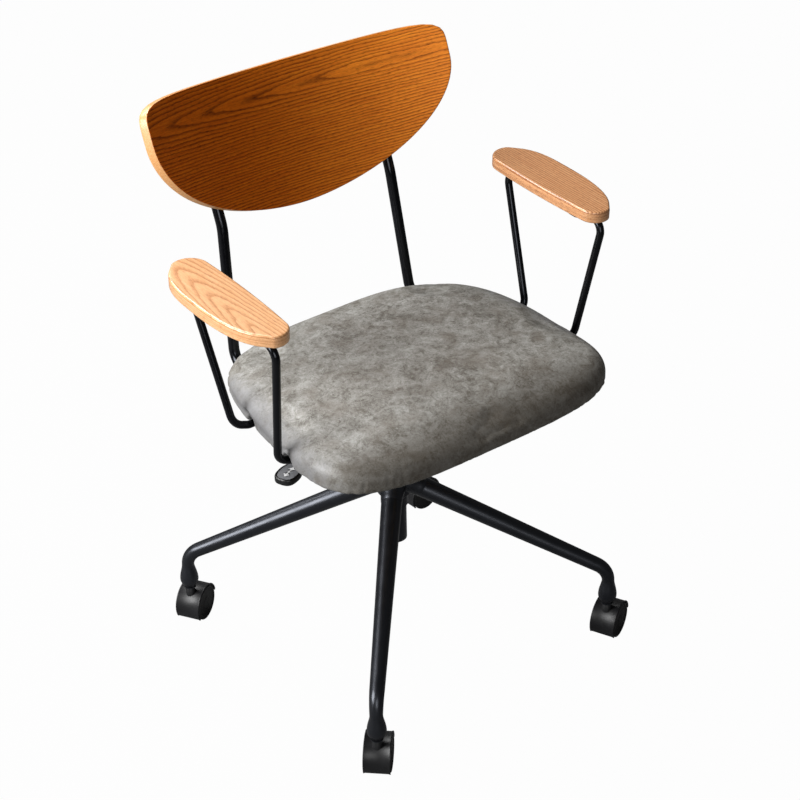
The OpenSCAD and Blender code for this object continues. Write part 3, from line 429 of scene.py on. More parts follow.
@dataclass(frozen=True)
class CoatedLeather(Finish):
    """Polyurethane-coated leather: a brushed two-tone print over a fine pebble emboss.

    The print gives soft clouds about 25 mm across, broken by fibrous strokes of 2 to 4 mm.
    """

    dark: str
    middle: str
    light: str
    brown: str
    sides_evened: str
    front_shade: str
    pebble_mm: float = 1.1

    def paint(self, tree: Tree) -> None:
        """Adds the nodes."""
        place = add(tree, "ShaderNodeTexCoord").outputs["Object"]
        cloud = add(tree, NOISE, {"Vector": place, "Scale": 46.0, "Detail": 5.0, "Roughness": 0.6,
                                  "Distortion": 0.8})
        patch = add(tree, NOISE, {"Vector": place, "Scale": 125.0, "Detail": 4.0, "Roughness": 0.6,
                                  "Distortion": 1.8})
        # The brush leaves curled strokes: the noise is bent by a slower one before it is read
        curl = add(tree, NOISE, {"Vector": place, "Scale": 130.0, "Detail": 1.0})
        bent = add(tree, VECTOR, {0: curl.outputs["Color"], 1: (0.011, 0.011, 0.011), 2: place},
                   operation="MULTIPLY_ADD")
        fibre = add(tree, NOISE, {"Vector": bent, "Scale": 200.0, "Detail": 4.0, "Roughness": 0.6,
                                  "Distortion": 1.4})
        tone = add(tree, MIX, {"Factor": 0.40, "A": cloud, "B": patch})
        toned = add(tree, MIX, {"Factor": 0.24, "A": tone, "B": fibre})
        strands = add(tree, RAMP, {"Fac": fibre}, stops=[(0.45, 0.0), (0.494, 1.0), (0.506, 1.0),
                                                         (0.55, 0.0)])
        hair = add(tree, NOISE, {"Vector": bent, "Scale": 410.0, "Detail": 2.0, "Distortion": 2.0})
        hairs = add(tree, RAMP, {"Fac": hair}, stops=[(0.455, 0.0), (0.5, 1.0), (0.545, 0.0)])
        toned = add(tree, MATH, {0: strands, 1: 0.065, 2: toned}, operation="MULTIPLY_ADD")
        toned = add(tree, MATH, {0: hairs, 1: 0.06, 2: toned}, operation="MULTIPLY_ADD")
        colour = add(tree, RAMP, {"Fac": toned}, stops=[(0.42, self.dark), (0.545, self.middle),
                                                        (0.68, self.light)])
        warm = add(tree, NOISE, {"Vector": place, "Scale": 24.0, "Detail": 6.0, "Roughness": 0.6})
        where = add(tree, RAMP, {"Fac": warm}, stops=[(0.50, 0.0), (0.68, 0.55)])
        mixed = add(tree, MIX, {"Factor": where, "A": colour, "B": linear(self.brown)}, data_type="RGBA")
        # Over the sides, most at the rear, the print fades to an even grey and its roughness drops a little
        spot = add(tree, SPLIT, {"Vector": place})
        y = spot.outputs["Y"]
        across = add(tree, MATH, {0: spot.outputs["X"]}, operation="ABSOLUTE")
        across = add(tree, MATH, {0: y, 1: 0.11, 2: across}, operation="MULTIPLY_ADD")
        ragged = add(tree, MATH, {0: cloud, 1: 0.05, 2: across}, operation="MULTIPLY_ADD")
        side_share = add(tree, RANGE, {"Value": ragged, "From Min": 0.206, "From Max": 0.242, "To Max": 0.8},
                    interpolation_type="SMOOTHSTEP")
        # Painted shade: the front wall, which faces away from the lamps, is darkened towards a deep brown
        front = add(tree, RANGE, {"Value": y, "From Min": -0.140, "From Max": -0.208, "To Max": 0.72},
                    interpolation_type="SMOOTHSTEP")
        banded = add(tree, MIX, {"Factor": front, "A": mixed, "B": linear(self.front_shade)}, data_type="RGBA")
        sides_evened = add(tree, MIX, {"Factor": side_share, "A": banded, "B": linear(self.sides_evened)},
                        data_type="RGBA")
        rough = add(tree, RANGE, {"Value": side_share, "From Max": 0.8, "To Min": 0.48, "To Max": 0.45})
        pebble = add(tree, "ShaderNodeTexVoronoi", {"Vector": place, "Scale": 1 / (self.pebble_mm * MM)},
                     feature="SMOOTH_F1")
        height = add(tree, MIX, {"Factor": 0.5, "A": pebble.outputs["Distance"], "B": strands})
        coat(tree, sides_evened, rough, height, 0.18, 0.25 * MM)


def lighter(colour: str, factor: float) -> str:
    """Scales an sRGB hex colour, kept within its range."""
    parts = [min(255, round(int(colour[i : i + 2], 16) * factor)) for i in (1, 3, 5)]
    return "#%02x%02x%02x" % tuple(parts)


def built(finish: Finish) -> Any:
    """A field that holds a finish's material, made when the chair's finishes are."""
    return field(default_factory=finish.build)


@dataclass
class Finishes:
    """Every material of the chair, built once."""

    rod: Material = built(PowderCoat("black_powder_coat_rod", "#030304", roughness=0.18))
    leg: Material = built(PowderCoat("black_powder_coat_leg", "#08090c", shine=0.78, peel_depth=0.05))
    pressed: Material = built(PowderCoat("black_powder_coat_pressed", "#141518", roughness=0.45, peel_mm=1.4))
    caster: Material = built(MouldedNylon("black_nylon_hood", "#0b0b0d"))
    disc: Material = built(MouldedNylon("black_nylon_disc", "#060607", roughness=0.5))
    paddle: Material = built(MouldedNylon("black_nylon_paddle", "#0b0b0c", roughness=0.35))
    paddle_top: Material = built(MouldedNylon("grey_nylon_paddle_top", "#6c6d70", roughness=0.5))
    mark: Material = built(MouldedNylon("white_ink_mark", "#d6d7d8", roughness=0.6))
    steel: Material = built(WorkedSteel("ground_steel", "#b9bcc0", roughness=0.22))
    zinc: Material = built(WorkedSteel("zinc_plated_steel", "#a3a6a8", roughness=0.34))
    ply: Material = built(Plywood("raw_birch_plywood", "#d8b27c", "#b98f58"))
    # The leather's darkest brown is painted shade on the front wall of the seat
    leather: Material = built(CoatedLeather(
        "grey_coated_leather", dark="#58534b", middle="#898781", light="#aaa9a5", brown="#6a6258",
        sides_evened="#727275", front_shade="#3f382f"))
    pad_right: Material = built(CutWood(
        "lacquered_ash_arched", "#dda571", "#e8b586", "#b3713a", "#94592b",
        trunk=(0.16, 0.006, -0.009), squeeze=0.13, ring_mm=4.4, wander_mm=3.6, ripple_mm=1.8,
        line_depth=0.9, coat=0.8, side_mm=2.6))
    # The left pad's ash is painted darker all over as painted shade; its straight grain is its own
    pad_left_shaded: Material = built(CutWood(
        "lacquered_ash_straight", "#cc9162", "#dca676", "#8a5028", "#6b3a19",
        trunk=(0.5, 0.12, -0.09), squeeze=0.02, ring_mm=3.1, wander_mm=1.7,
        line_depth=1.0, coat=0.8, side_mm=2.6))
    # Painted light and shade on the backrest: its stain multipliers make one end darker and the other lighter
    back: Material = built(CutWood(
        "stained_ash_veneer", "#a65319", "#bd6a22", "#572408", "#3c1804",
        trunk=(0.168, 0.145, 0.008), squeeze=0.058, ring_mm=3.7, wander_mm=3.4, ripple_mm=1.9,
        line_depth=0.88, roughness=0.42, coat=0.0, shine=0.14, streaks=0.9,
        shaded_end_stain=(1.5, 1.2, 0.3), lit_end_stain=(1.95, 2.2, 1.6)))
    back_edge: Material = built(CutWood(
        "lacquered_ash_edge", "#d59a5e", "#e7b27a", "#b97a41", "#9c6230",
        trunk=(0.5, 0.12, -0.09), squeeze=0.02, ring_mm=2.0, wander_mm=0.8, line_depth=0.55))


# ---------------------------------------------------------------------------------------
# Meshes


@dataclass
class Shape:
    """Vertices, faces and, where the finish needs it, a grain coordinate for each vertex."""

    points: Array
    faces: list[tuple[int, ...]]
    slots: list[int]
    grain: Optional[Array] = None

    def moved(self, matrix: Matrix) -> "Shape":
        """The same shape under a transform."""
        m = np.array(matrix)
        return replace(self, points=self.points @ m[:3, :3].T + m[:3, 3])

    def volume(self) -> float:
        """Signed volume, positive where the faces point outwards."""
        total = 0.0
        p = self.points
        for face in self.faces:
            a = p[face[0]]
            for i in range(1, len(face) - 1):
                total += float(np.dot(a, np.cross(p[face[i]], p[face[i + 1]])))
        return total / 6


def merged(shapes: Sequence[Shape]) -> Shape:
    """Puts several shapes in one, each with its faces turned outwards.

    Args:
        shapes: The closed shapes to join.

    Returns:
        One shape that holds them all.
    """
    faces, slots, start = [], [], 0
    for s in shapes:
        flip = s.volume() < 0
        faces += [tuple(start + i for i in (reversed(f) if flip else f)) for f in s.faces]
        slots += s.slots
        start += len(s.points)
    grain = [s.grain for s in shapes if s.grain is not None]
    return Shape(np.concatenate([s.points for s in shapes]), faces, slots,
                 np.concatenate(grain) if grain else None)


def with_poles(rings: Array) -> Array:
    """The points of a stack of rings, then the middles of its first and last ring."""
    return np.concatenate([rings.reshape(-1, 3), rings[0].mean(0)[None], rings[-1].mean(0)[None]])


def skin(rings: Array, grain: Optional[Array] = None, slots: Optional[Sequence[int]] = None) -> Shape:
    """Closes a stack of rings into one solid, with a pole at each end.

    Args:
        rings: Points as (ring, place round the ring, xyz).
        grain: Grain coordinates in the same layout.
        slots: Material slot for each strip between two rings.

    Returns:
        The closed shape.
    """
    n, m = rings.shape[:2]
    marks = list(slots) if slots is not None else [0] * (n - 1)
    steps = [(j, (j + 1) % m) for j in range(m)]
    faces = [(i * m + j, i * m + k, (i + 1) * m + k, (i + 1) * m + j) for i in range(n - 1) for j, k in steps]
    last = (n - 1) * m
    faces += [face for j, k in steps for face in ((n * m, k, j), (n * m + 1, last + j, last + k))]
    marks = [marks[i] for i in range(n - 1) for _ in steps] + [marks[0], marks[-1]] * m
    return Shape(with_poles(rings), faces, marks, None if grain is None else with_poles(grain))


def lathe(profile: Profile, sides: int) -> Shape:
    """Turns a profile about z.

    Args:
        profile: Radius and height of each ring, in metres, along a closed outline.
        sides: Steps round the axis.

    Returns:
        The closed shape.
    """
    t = np.linspace(0, 2 * np.pi, sides, endpoint=False)
    rings = np.array([[(r * math.cos(a), r * math.sin(a), z) for a in t] for r, z in profile])
    return skin(rings)


def circle(centre: Array, across: Array, up: Array, radius: float, sides: int) -> Array:
    """Points round a circle that lies in the plane of two unit vectors."""
    t = np.linspace(0, 2 * np.pi, sides, endpoint=False)[:, None]
    return centre + radius * (np.cos(t) * across + np.sin(t) * up)


def unit(v: Array) -> Array:
    """The vector at length one."""
    return v / np.linalg.norm(v)


def turned(v: Array, axis: Array, angle: float) -> Array:
    """The vector turned about a unit axis."""
    c = math.cos(angle)
    return v * c + np.cross(axis, v) * math.sin(angle) + axis * np.dot(axis, v) * (1 - c)


def bent_rod(corners: Sequence[Sequence[float]], radii: Sequence[float], d: float, sides: int,
             steps: int, chamfer: float = 0.6 * MM) -> Shape:
    """A round rod bent along its corners, with a small chamfer at each end.

    Args:
        corners: Ends and corners of the rod's axis.
        radii: Bend radius at each inner corner, on the axis.
        d: Diameter of the rod.
        sides: Steps round the rod.
        steps: Steps along each bend.
        chamfer: Size of the end chamfers.

    Returns:
        The closed shape.
    """
    pts = [np.array(c, float) for c in corners]
    dirs = [unit(b - a) for a, b in zip(pts[:-1], pts[1:])]
    x = unit(np.cross((0, 0, 1.0), dirs[0]) if abs(dirs[0][2]) < 0.9 else np.cross((1.0, 0, 0), dirs[0]))
    stations = [(pts[0], dirs[0], x, d / 2 - chamfer), (pts[0] + dirs[0] * chamfer, dirs[0], x, d / 2)]
    for i, radius in enumerate(radii):
        angle = math.acos(float(np.clip(np.dot(dirs[i], dirs[i + 1]), -1, 1)))
        axis = unit(np.cross(dirs[i], dirs[i + 1]))
        start = pts[i + 1] - dirs[i] * radius * math.tan(angle / 2)
        out = -radius * np.cross(axis, dirs[i])
        for s in range(steps + 1):
            a = angle * s / steps
            centre = start - out + turned(out, axis, a)
            stations.append((centre, turned(dirs[i], axis, a), turned(x, axis, a), d / 2))
        x = turned(x, axis, angle)
    stations += [(pts[-1] - dirs[-1] * chamfer, dirs[-1], x, d / 2), (pts[-1], dirs[-1], x, d / 2 - chamfer)]
    rings = [circle(o, across, np.cross(along, across), r, sides) for o, along, across, r in stations]
    return skin(np.array(rings))


def linked(name: str, data: Any) -> Piece:
    """Puts a mesh, a lamp or a camera in the scene as an object of its own."""
    made = bpy.data.objects.new(name, data)
    bpy.context.scene.collection.objects.link(made)
    return made


def make(name: str, shape: Shape, materials: Sequence[Material], sharp: float = SHARP_DEG) -> Piece:
    """Makes a piece from a shape.

    Args:
        name: The piece's name.
        shape: Its vertices and faces.
        materials: Materials for the shape's slots.
        sharp: Angle in degrees above which an edge stays sharp.

    Returns:
        The piece, at the origin.
    """
    mesh = bpy.data.meshes.new(name)
    whole = merged([shape])
    mesh.from_pydata(whole.points.tolist(), [], whole.faces)
    for material in materials:
        mesh.materials.append(material)
    mesh.polygons.foreach_set("use_smooth", [True] * len(mesh.polygons))
    mesh.polygons.foreach_set("material_index", whole.slots)
    if whole.grain is not None:
        layer = mesh.attributes.new("grain", "FLOAT_VECTOR", "POINT")
        layer.data.foreach_set("vector", whole.grain.astype(np.float32).ravel())
    piece = linked(name, mesh)
    mesh.set_sharp_from_angle(angle=math.radians(sharp))
    mesh.update()
    return piece


def place(piece: Piece, body: str, slot: str, *replaced: str) -> Piece:
    """Puts a piece on its body and hides the CAD nodes that it stands for.

    Args:
        piece: The finished piece.
        body: The body that it moves with.
        slot: The record's material slot; not used.
        *replaced: CAD nodes that it replaces.

    Returns:
        The same piece.
    """
    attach(piece, body)
    if replaced:
        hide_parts(*replaced)
    LOG.info("%s: %d faces on %s", piece.name, len(piece.data.polygons), body)
    return piece


def rounded(r: float, steps: int) -> Profile:
    """How far in and how far down each point of a rounded edge lies, from its side to its top."""
    return [(r * (1 - math.cos(a)), r * (1 - math.sin(a))) for a in np.radians(np.linspace(0, 90, steps))]


def smooth(share: Array) -> Array:
    """Eases a share of 0 to 1 at both ends."""
    return share * share * (3 - 2 * share)


def oval_r(a: float, b: Array | float, n: Array | float, t: Array) -> Array:
    """Radius of a superellipse in each direction.

    Args:
        a: Half axis along x.
        b: Half axis along y.
        n: Exponent.
        t: Directions in radians.

    Returns:
        The radii.
    """
    return ((np.abs(np.cos(t)) / a) ** n + (np.abs(np.sin(t)) / b) ** n) ** (-1 / n)


def convex(points: Array) -> Array:
    """The convex hull of points in the plane.

    Args:
        points: The points.

    Returns:
        The hull's corners, counter-clockwise.
    """
    rows = sorted(set(map(tuple, np.round(points, 7).tolist())))
    out: list[tuple[float, float]] = []
    for run in (rows, rows[::-1]):
        start = len(out)
        for p in run:
            while len(out) - start > 1:
                (ax, ay), (bx, by) = out[-2], out[-1]
                if (bx - ax) * (p[1] - ay) - (by - ay) * (p[0] - ax) > 0:
                    break
                out.pop()
            out.append(p)
        out.pop()
    return np.array(out)


def ray_points(polygon: Array, angles: Array) -> Array:
    """Where rays from the origin leave a convex polygon that holds it.

    Args:
        polygon: Its corners, counter-clockwise.
        angles: Directions of the rays.

    Returns:
        One point for each ray.
    """
    after = np.roll(polygon, -1, 0)
    out = []
    for a in angles:
        d = np.array([math.cos(a), math.sin(a)])
        side, next_side = d[0] * polygon[:, 1] - d[1] * polygon[:, 0], d[0] * after[:, 1] - d[1] * after[:, 0]
        ahead = polygon @ d + after @ d > 0
        i = int(np.argmax((side <= 0) & (next_side > 0) & ahead))
        p, e = polygon[i], after[i] - polygon[i]
        out.append(d * (p[0] * e[1] - p[1] * e[0]) / (d[0] * e[1] - d[1] * e[0]))
    return np.array(out)


# ---------------------------------------------------------------------------------------
# Repeated small pieces, laid out by Geometry Nodes


@dataclass
class Repeater:
    """Sets copies of one small shape on points, each turned to its own direction."""

    tree: Tree = field(init=False)
    sockets: dict[str, str] = field(init=False)

    def __post_init__(self) -> None:
        """Builds the node tree with its named inputs."""
        tree = bpy.data.node_groups.new("set_on_points", "GeometryNodeTree")
        face = tree.interface
        face.new_socket("Geometry", in_out="INPUT", socket_type="NodeSocketGeometry")
        names = {"Piece": "NodeSocketObject", "Finish": "NodeSocketMaterial", "Size": "NodeSocketFloat"}
        self.sockets = {label: face.new_socket(label, in_out="INPUT", socket_type=kind).identifier
                        for label, kind in names.items()}
        face.new_socket("Geometry", in_out="OUTPUT", socket_type="NodeSocketGeometry")
        start = add(tree, "NodeGroupInput")
        aim = add(tree, "GeometryNodeInputNamedAttribute", {"Name": "aim"}, data_type="FLOAT_VECTOR")
        spin = add(tree, "GeometryNodeInputNamedAttribute", {"Name": "spin"}, data_type="FLOAT_VECTOR")
        stand = add(tree, "FunctionNodeAlignRotationToVector", {"Vector": aim}, axis="Z")
        turn = add(tree, "FunctionNodeAlignRotationToVector", {"Rotation": stand, "Vector": spin}, axis="X",
                   pivot_axis="Z")
        shape = add(tree, "GeometryNodeObjectInfo", {"Object": start.outputs["Piece"]})
        laid = {"Points": start.outputs["Geometry"], "Instance": shape.outputs["Geometry"],
                "Rotation": turn, "Scale": start.outputs["Size"]}
        copies = add(tree, "GeometryNodeInstanceOnPoints", laid)
        real = add(tree, "GeometryNodeRealizeInstances", {"Geometry": copies})
        finish = {"Geometry": real, "Material": start.outputs["Finish"]}
        finished = add(tree, "GeometryNodeSetMaterial", finish)
        add(tree, "NodeGroupOutput", {"Geometry": finished})
        self.tree = tree

    def lay(self, name: str, small: Shape, places: Places, material: Material) -> Piece:
        """Lays out the copies and turns them to one plain mesh.

        Args:
            name: Name of the finished piece.
            small: The shape to repeat, standing on z = 0 and pointing along +z.
            places: Point, direction of its z and direction of its x, for each copy.
            material: The finish of the copies.

        Returns:
            The finished piece.
        """
        master = make(name + "_master", small, [material])
        mesh = bpy.data.meshes.new(name + "_points")
        mesh.from_pydata([tuple(p[0]) for p in places], [], [])
        for i, label in ((1, "aim"), (2, "spin")):
            layer = mesh.attributes.new(label, "FLOAT_VECTOR", "POINT")
            layer.data.foreach_set("vector", np.array([p[i] for p in places], np.float32).ravel())
        base = linked(name + "_base", mesh)
        modifier = base.modifiers.new("copies", "NODES")
        modifier.node_group = self.tree
        for label, value in (("Piece", master), ("Finish", material), ("Size", 1.0)):
            modifier[self.sockets[label]] = value
        bpy.context.view_layer.update()
        result = bpy.data.meshes.new_from_object(base.evaluated_get(bpy.context.evaluated_depsgraph_get()))
        base.modifiers.remove(modifier)
        for spare in (base, master):
            bpy.data.objects.remove(spare)
        result.name = name
        result.polygons.foreach_set("use_smooth", [True] * len(result.polygons))
        result.set_sharp_from_angle(angle=math.radians(SHARP_DEG_SMALL))
        return linked(name, result)


def pan_head(d: float, h: float, shank: float, length: float, key: float) -> Shape:
    """A pan-head screw with a hexagonal recess, its head rising from z = 0.

    Args:
        d: Head diameter.
        h: Head height.
        shank: Shank diameter.
        length: Shank length below z = 0.
        key: Width of the recess across its flats.

    Returns:
        The closed shape.
    """
    sides = 48
    t = np.linspace(0, 2 * np.pi, sides, endpoint=False)
    # Distance to a hexagon's sides in each direction
    hexagon = key / 2 / np.cos((t + np.pi / 6) % (np.pi / 3) - np.pi / 6)
    r = h * 0.55
    edge = 0.2 * MM
    rows = [(shank / 2, -length), (shank / 2, 0.0), (d / 2 - edge, 0.0), (d / 2, edge), (d / 2, h - r)]
    rows += [(d / 2 - r * (1 - math.cos(a)), h - r + r * math.sin(a))
             for a in np.linspace(0.3, math.pi / 2, 5)]
    rings = [np.stack([q * np.cos(t), q * np.sin(t), np.full(sides, z)], 1) for q, z in rows]
    rings += [np.stack([hexagon * np.cos(t), hexagon * np.sin(t), np.full(sides, z)], 1)
              for z in (h, h * 0.25)]
    return skin(np.array(rings))


# ---------------------------------------------------------------------------------------
# Sub-assemblies

# The cover as cloth: light and stiff, and kept taut by a low pressure from within
CLOTH: dict[str, Any] = {
    "quality": 7, "mass": 0.3, "tension_stiffness": 18, "compression_stiffness": 18, "shear_stiffness": 6,
    "bending_stiffness": 25, "use_pressure": True, "uniform_pressure_force": 2.2, "vertex_group_mass": "held",
}
CLOTH_FRAMES = 20
CLOTH_CAP = 3 * MM
# Half the distance between the uprights where they run under the seat
UPRIGHT_X = 143 * MM
# How far each caster trails round its stem, in degrees, as photographed
TRAIL_DEG = {Corner.FRONT_RIGHT: 47.0, Corner.FRONT_LEFT: 25.0, Corner.REAR_LEFT: 5.0,
             Corner.REAR_RIGHT: 32.0}


@dataclass
class Base:
    """Four tapered tube legs with turned-down ends, and the hub that they are welded to."""

    finishes: Finishes
    reach: float = 290 * MM
    turn_deg: float = -131.9
    axis_z: float = 262 * MM
    slope_deg: float = 26.8
    d_hub: float = 28.5 * MM
    d_end: float = 19.5 * MM
    neck_d: float = 17 * MM
    socket_z: float = 62 * MM
    stem_d: float = 11.1 * MM
    bend_r: float = 30 * MM
    inner: float = 16 * MM

    def axis_at(self, r: float) -> float:
        """Height of a leg's sloping axis at a distance from the chair's."""
        return self.axis_z - r * math.tan(math.radians(self.slope_deg))

    def leg_shape(self) -> Shape:
        """One leg in its own plane: along +x, down the slope, then straight down to its socket."""
        slope = math.radians(self.slope_deg)
        start = self.reach - self.bend_r * (1 - math.cos(math.pi / 2 - slope))
        stations: list[tuple[float, float, float, float]] = []
        for s in np.linspace(0, 1, 12):
            r = self.inner + s * (start - self.inner)
            stations.append((r, self.axis_at(r), -slope, self.d_hub + s * (self.d_end - self.d_hub)))
        for s in np.linspace(0, 1, 17)[1:]:
            a = slope + s * (math.pi / 2 - slope)
            stations.append((self.reach - self.bend_r * (1 - math.sin(a)),
                             self.axis_at(start) - self.bend_r * (math.cos(slope) - math.cos(a)),
                             -a, self.d_end + s * (self.neck_d - self.d_end)))
        # The socket swells below a narrow neck and has a bore for the stem.
        # Millimetres down from its top, or up from its foot, and the radius there
        low, bore = self.socket_z, self.stem_d / 2 / MM
        top = low + 39 * MM
        swell = ((2, 8.5), (6, 8.8), (11, 9.9), (17, 11.4), (22, 12.35), (27, 12.75))
        foot = ((9, 12.45), (6.5, 11.6), (4, 10.3), (2, 9.1), (0.6, 8.5), (0, 8.1), (0, 6.3),
                (0.8, bore), (26, bore))
        drop = [(top - down * MM, r) for down, r in swell] + [(low + up * MM, r) for up, r in foot]
        stations += [(self.reach, z, -math.pi / 2, 2 * r * MM) for z, r in drop]
        return skin(np.array([self.round_leg(np.array([x, 0, z]), a, d / 2) for x, z, a, d in stations]))

    def round_leg(self, centre: Array, slope: float, radius: float) -> Array:
        """One ring square to a leg, whose axis rises outwards by slope radians."""
        along, side = np.array([math.cos(slope), 0, math.sin(slope)]), np.array([0, 1.0, 0])
        return circle(centre, side, np.cross(along, side), radius, 40)

    def weld_shape(self) -> Shape:
        """The rounded shoulder where a leg meets the hub: a short flare round the leg."""
        rings = []
        for along, grow in ((16, 3.4), (21, 3.2), (24, 2.2), (28, 1.0), (33, 0.25), (38, 0.02), (39, -0.6)):
            r = along * MM
            radius = self.d_hub / 2 + grow * MM - (r - self.inner) * 0.017
            centre = np.array([r, 0, self.axis_at(r)])
            rings.append(self.round_leg(centre, -math.radians(self.slope_deg), radius))
        return skin(np.array(rings))

    def build(self) -> None:
        """Makes the four legs."""
        for corner in Corner:
            turn = Matrix.Rotation(math.radians(self.turn_deg + 90 * corner.value), 4, "Z")
            shape = merged([self.leg_shape(), self.weld_shape()]).moved(turn)
            place(make("leg_" + corner.word + "_tube", shape, [self.finishes.leg]), "base", "black_steel",
                  "leg_" + corner.word)


@dataclass
class Caster:
    """A twin-wheel caster: a moulded hood and web on a stem, with a dished wheel each side."""

    finishes: Finishes
    base: Base
    corner: Corner
    trail_deg: float
    wheel_r: float = 25 * MM
    width: float = 35 * MM
    trail: float = 12 * MM
    hood_in: float = 26 * MM
    hood_t: float = 1.6 * MM
    front_deg: float = -34
    back_deg: float = 172
    thin_deg: float = 3.5
    web: float = 5 * MM
    boss_d: float = 13.4 * MM
    boss_top: float = 59.7 * MM
    boss_low: float = 35 * MM
    bore_r: float = 5.6 * MM
    bore_low: float = 40 * MM
    web_r: float = 6.5 * MM

    def at(self) -> Matrix:
        """From the caster's own frame, with its axle behind the stem in +x, to the chair's."""
        a = math.radians(self.base.turn_deg + 90 * self.corner.value)
        stem = Matrix.Translation((self.base.reach * math.cos(a), self.base.reach * math.sin(a), 0))
        return stem @ Matrix.Rotation(math.radians(self.trail_deg), 4, "Z")

    def on_axle(self) -> Matrix:
        """From a frame whose z runs along the axle to the caster's own frame."""
        return Matrix.Translation((self.trail, 0, self.wheel_r)) @ Matrix.Rotation(math.pi / 2, 4, "X")

    def hood(self) -> Shape:
        """The hood's shell, its web between the wheels, and the boss that takes the stem."""
        half, inner, outer = self.width / 2, self.hood_in, self.hood_in + self.hood_t
        # Across the hood, a fine bead at each rim catches the light: millimetres out, then in from the rim
        bead = ((0.0, 0.1), (0.45, 0), (0.7, 0.7), (0.45, 1.5), (0.0, 2.2))
        bead = [(up * MM, half - v * MM) for up, v in bead]
        crest = [(up, -v) for up, v in bead] + [(up, v) for up, v in reversed(bead)]
        front, back = math.radians(self.front_deg), math.radians(self.back_deg)
        rings = []
        for a in np.radians(np.linspace(self.front_deg, self.back_deg, 64)):
            edge = min(a - front, back - a) / math.radians(self.thin_deg)
            thin = 1 - 0.75 * max(0.0, 1 - edge) ** 2
            section = [(inner + (outer - inner) * thin + up * thin, v) for up, v in crest]
            section += [(inner, half - 0.4 * MM), (inner, -half + 0.4 * MM)]
            rings.append([(-r * math.cos(a), r * math.sin(a), v) for r, v in section])
        shell = skin(np.array(rings))
        wall, w = [], self.web / 2
        for z, inset in ((-w, 0.5), (-w + 0.5 * MM, 0.0), (w - 0.5 * MM, 0.0), (w, 0.5)):
            wide = self.hood_in + 0.3 * MM - inset * MM
            arcs = ((wide, self.front_deg + 1, self.back_deg - 1, 50),
                    (self.web_r, self.back_deg + 20, 360 + self.front_deg - 20, 20))
            wall.append([(-r * math.cos(a), r * math.sin(a), z)
                         for r, start, stop, n in arcs for a in np.radians(np.linspace(start, stop, n))])
        plate = skin(np.array(wall))
        r, top, edge = self.boss_d / 2, self.boss_top, 0.6 * MM
        boss = lathe([(r, self.boss_low), (r, top - edge), (r - edge, top), (self.bore_r, top),
                      (self.bore_r, self.bore_low)], 48)
        return merged([shell.moved(self.on_axle()), plate.moved(self.on_axle()), boss])

    def wheel(self, side: int) -> Shape:
        """One wheel about the axle, its hub towards the web and its dished disc outwards."""
        # Radius and distance from the web's middle in millimetres: bore, hollow, tread, shoulder, dished face
        outline = [(3.0, 2.8), (6.3, 2.8), (6.5, 3.0), (6.5, 15.0), (20.8, 15.0), (21.0, 14.8), (21.0, 8.55),
                   (21.2, 8.35), (24.0, 8.35), (24.7, 8.7), (25.0, 9.4), (25.0, 15.9), (24.85, 16.5),
                   (24.45, 17.1), (23.8, 17.42), (23.0, 17.5), (21.6, 17.5), (21.1, 17.35), (20.7, 16.9),
                   (20.3, 16.65), (19.5, 16.6), (9.6, 16.75), (9.0, 16.9), (8.6, 17.3), (8.2, 17.45),
                   (7.4, 17.5), (1.0, 17.5)]
        shape = lathe([(q * MM, z * MM) for q, z in outline], 72)
        return shape.moved(Matrix.Rotation(math.pi, 4, "X")) if side < 0 else shape

    def build(self) -> None:
        """Makes the hood and both wheels."""
        word = self.corner.word
        hood = self.hood().moved(self.at())
        place(make("hood_" + word, hood, [self.finishes.caster], 50), "caster_" + word, "black_nylon",
              "caster_hood_" + word)
        for letter, side in (("a", 1), ("b", -1)):
            wheel = self.wheel(side).moved(self.at() @ self.on_axle())
            name = "wheel_%s_%s" % (word, letter)
            place(make(name + "_turned", wheel, [self.finishes.disc], 50), name, "black_nylon", name)


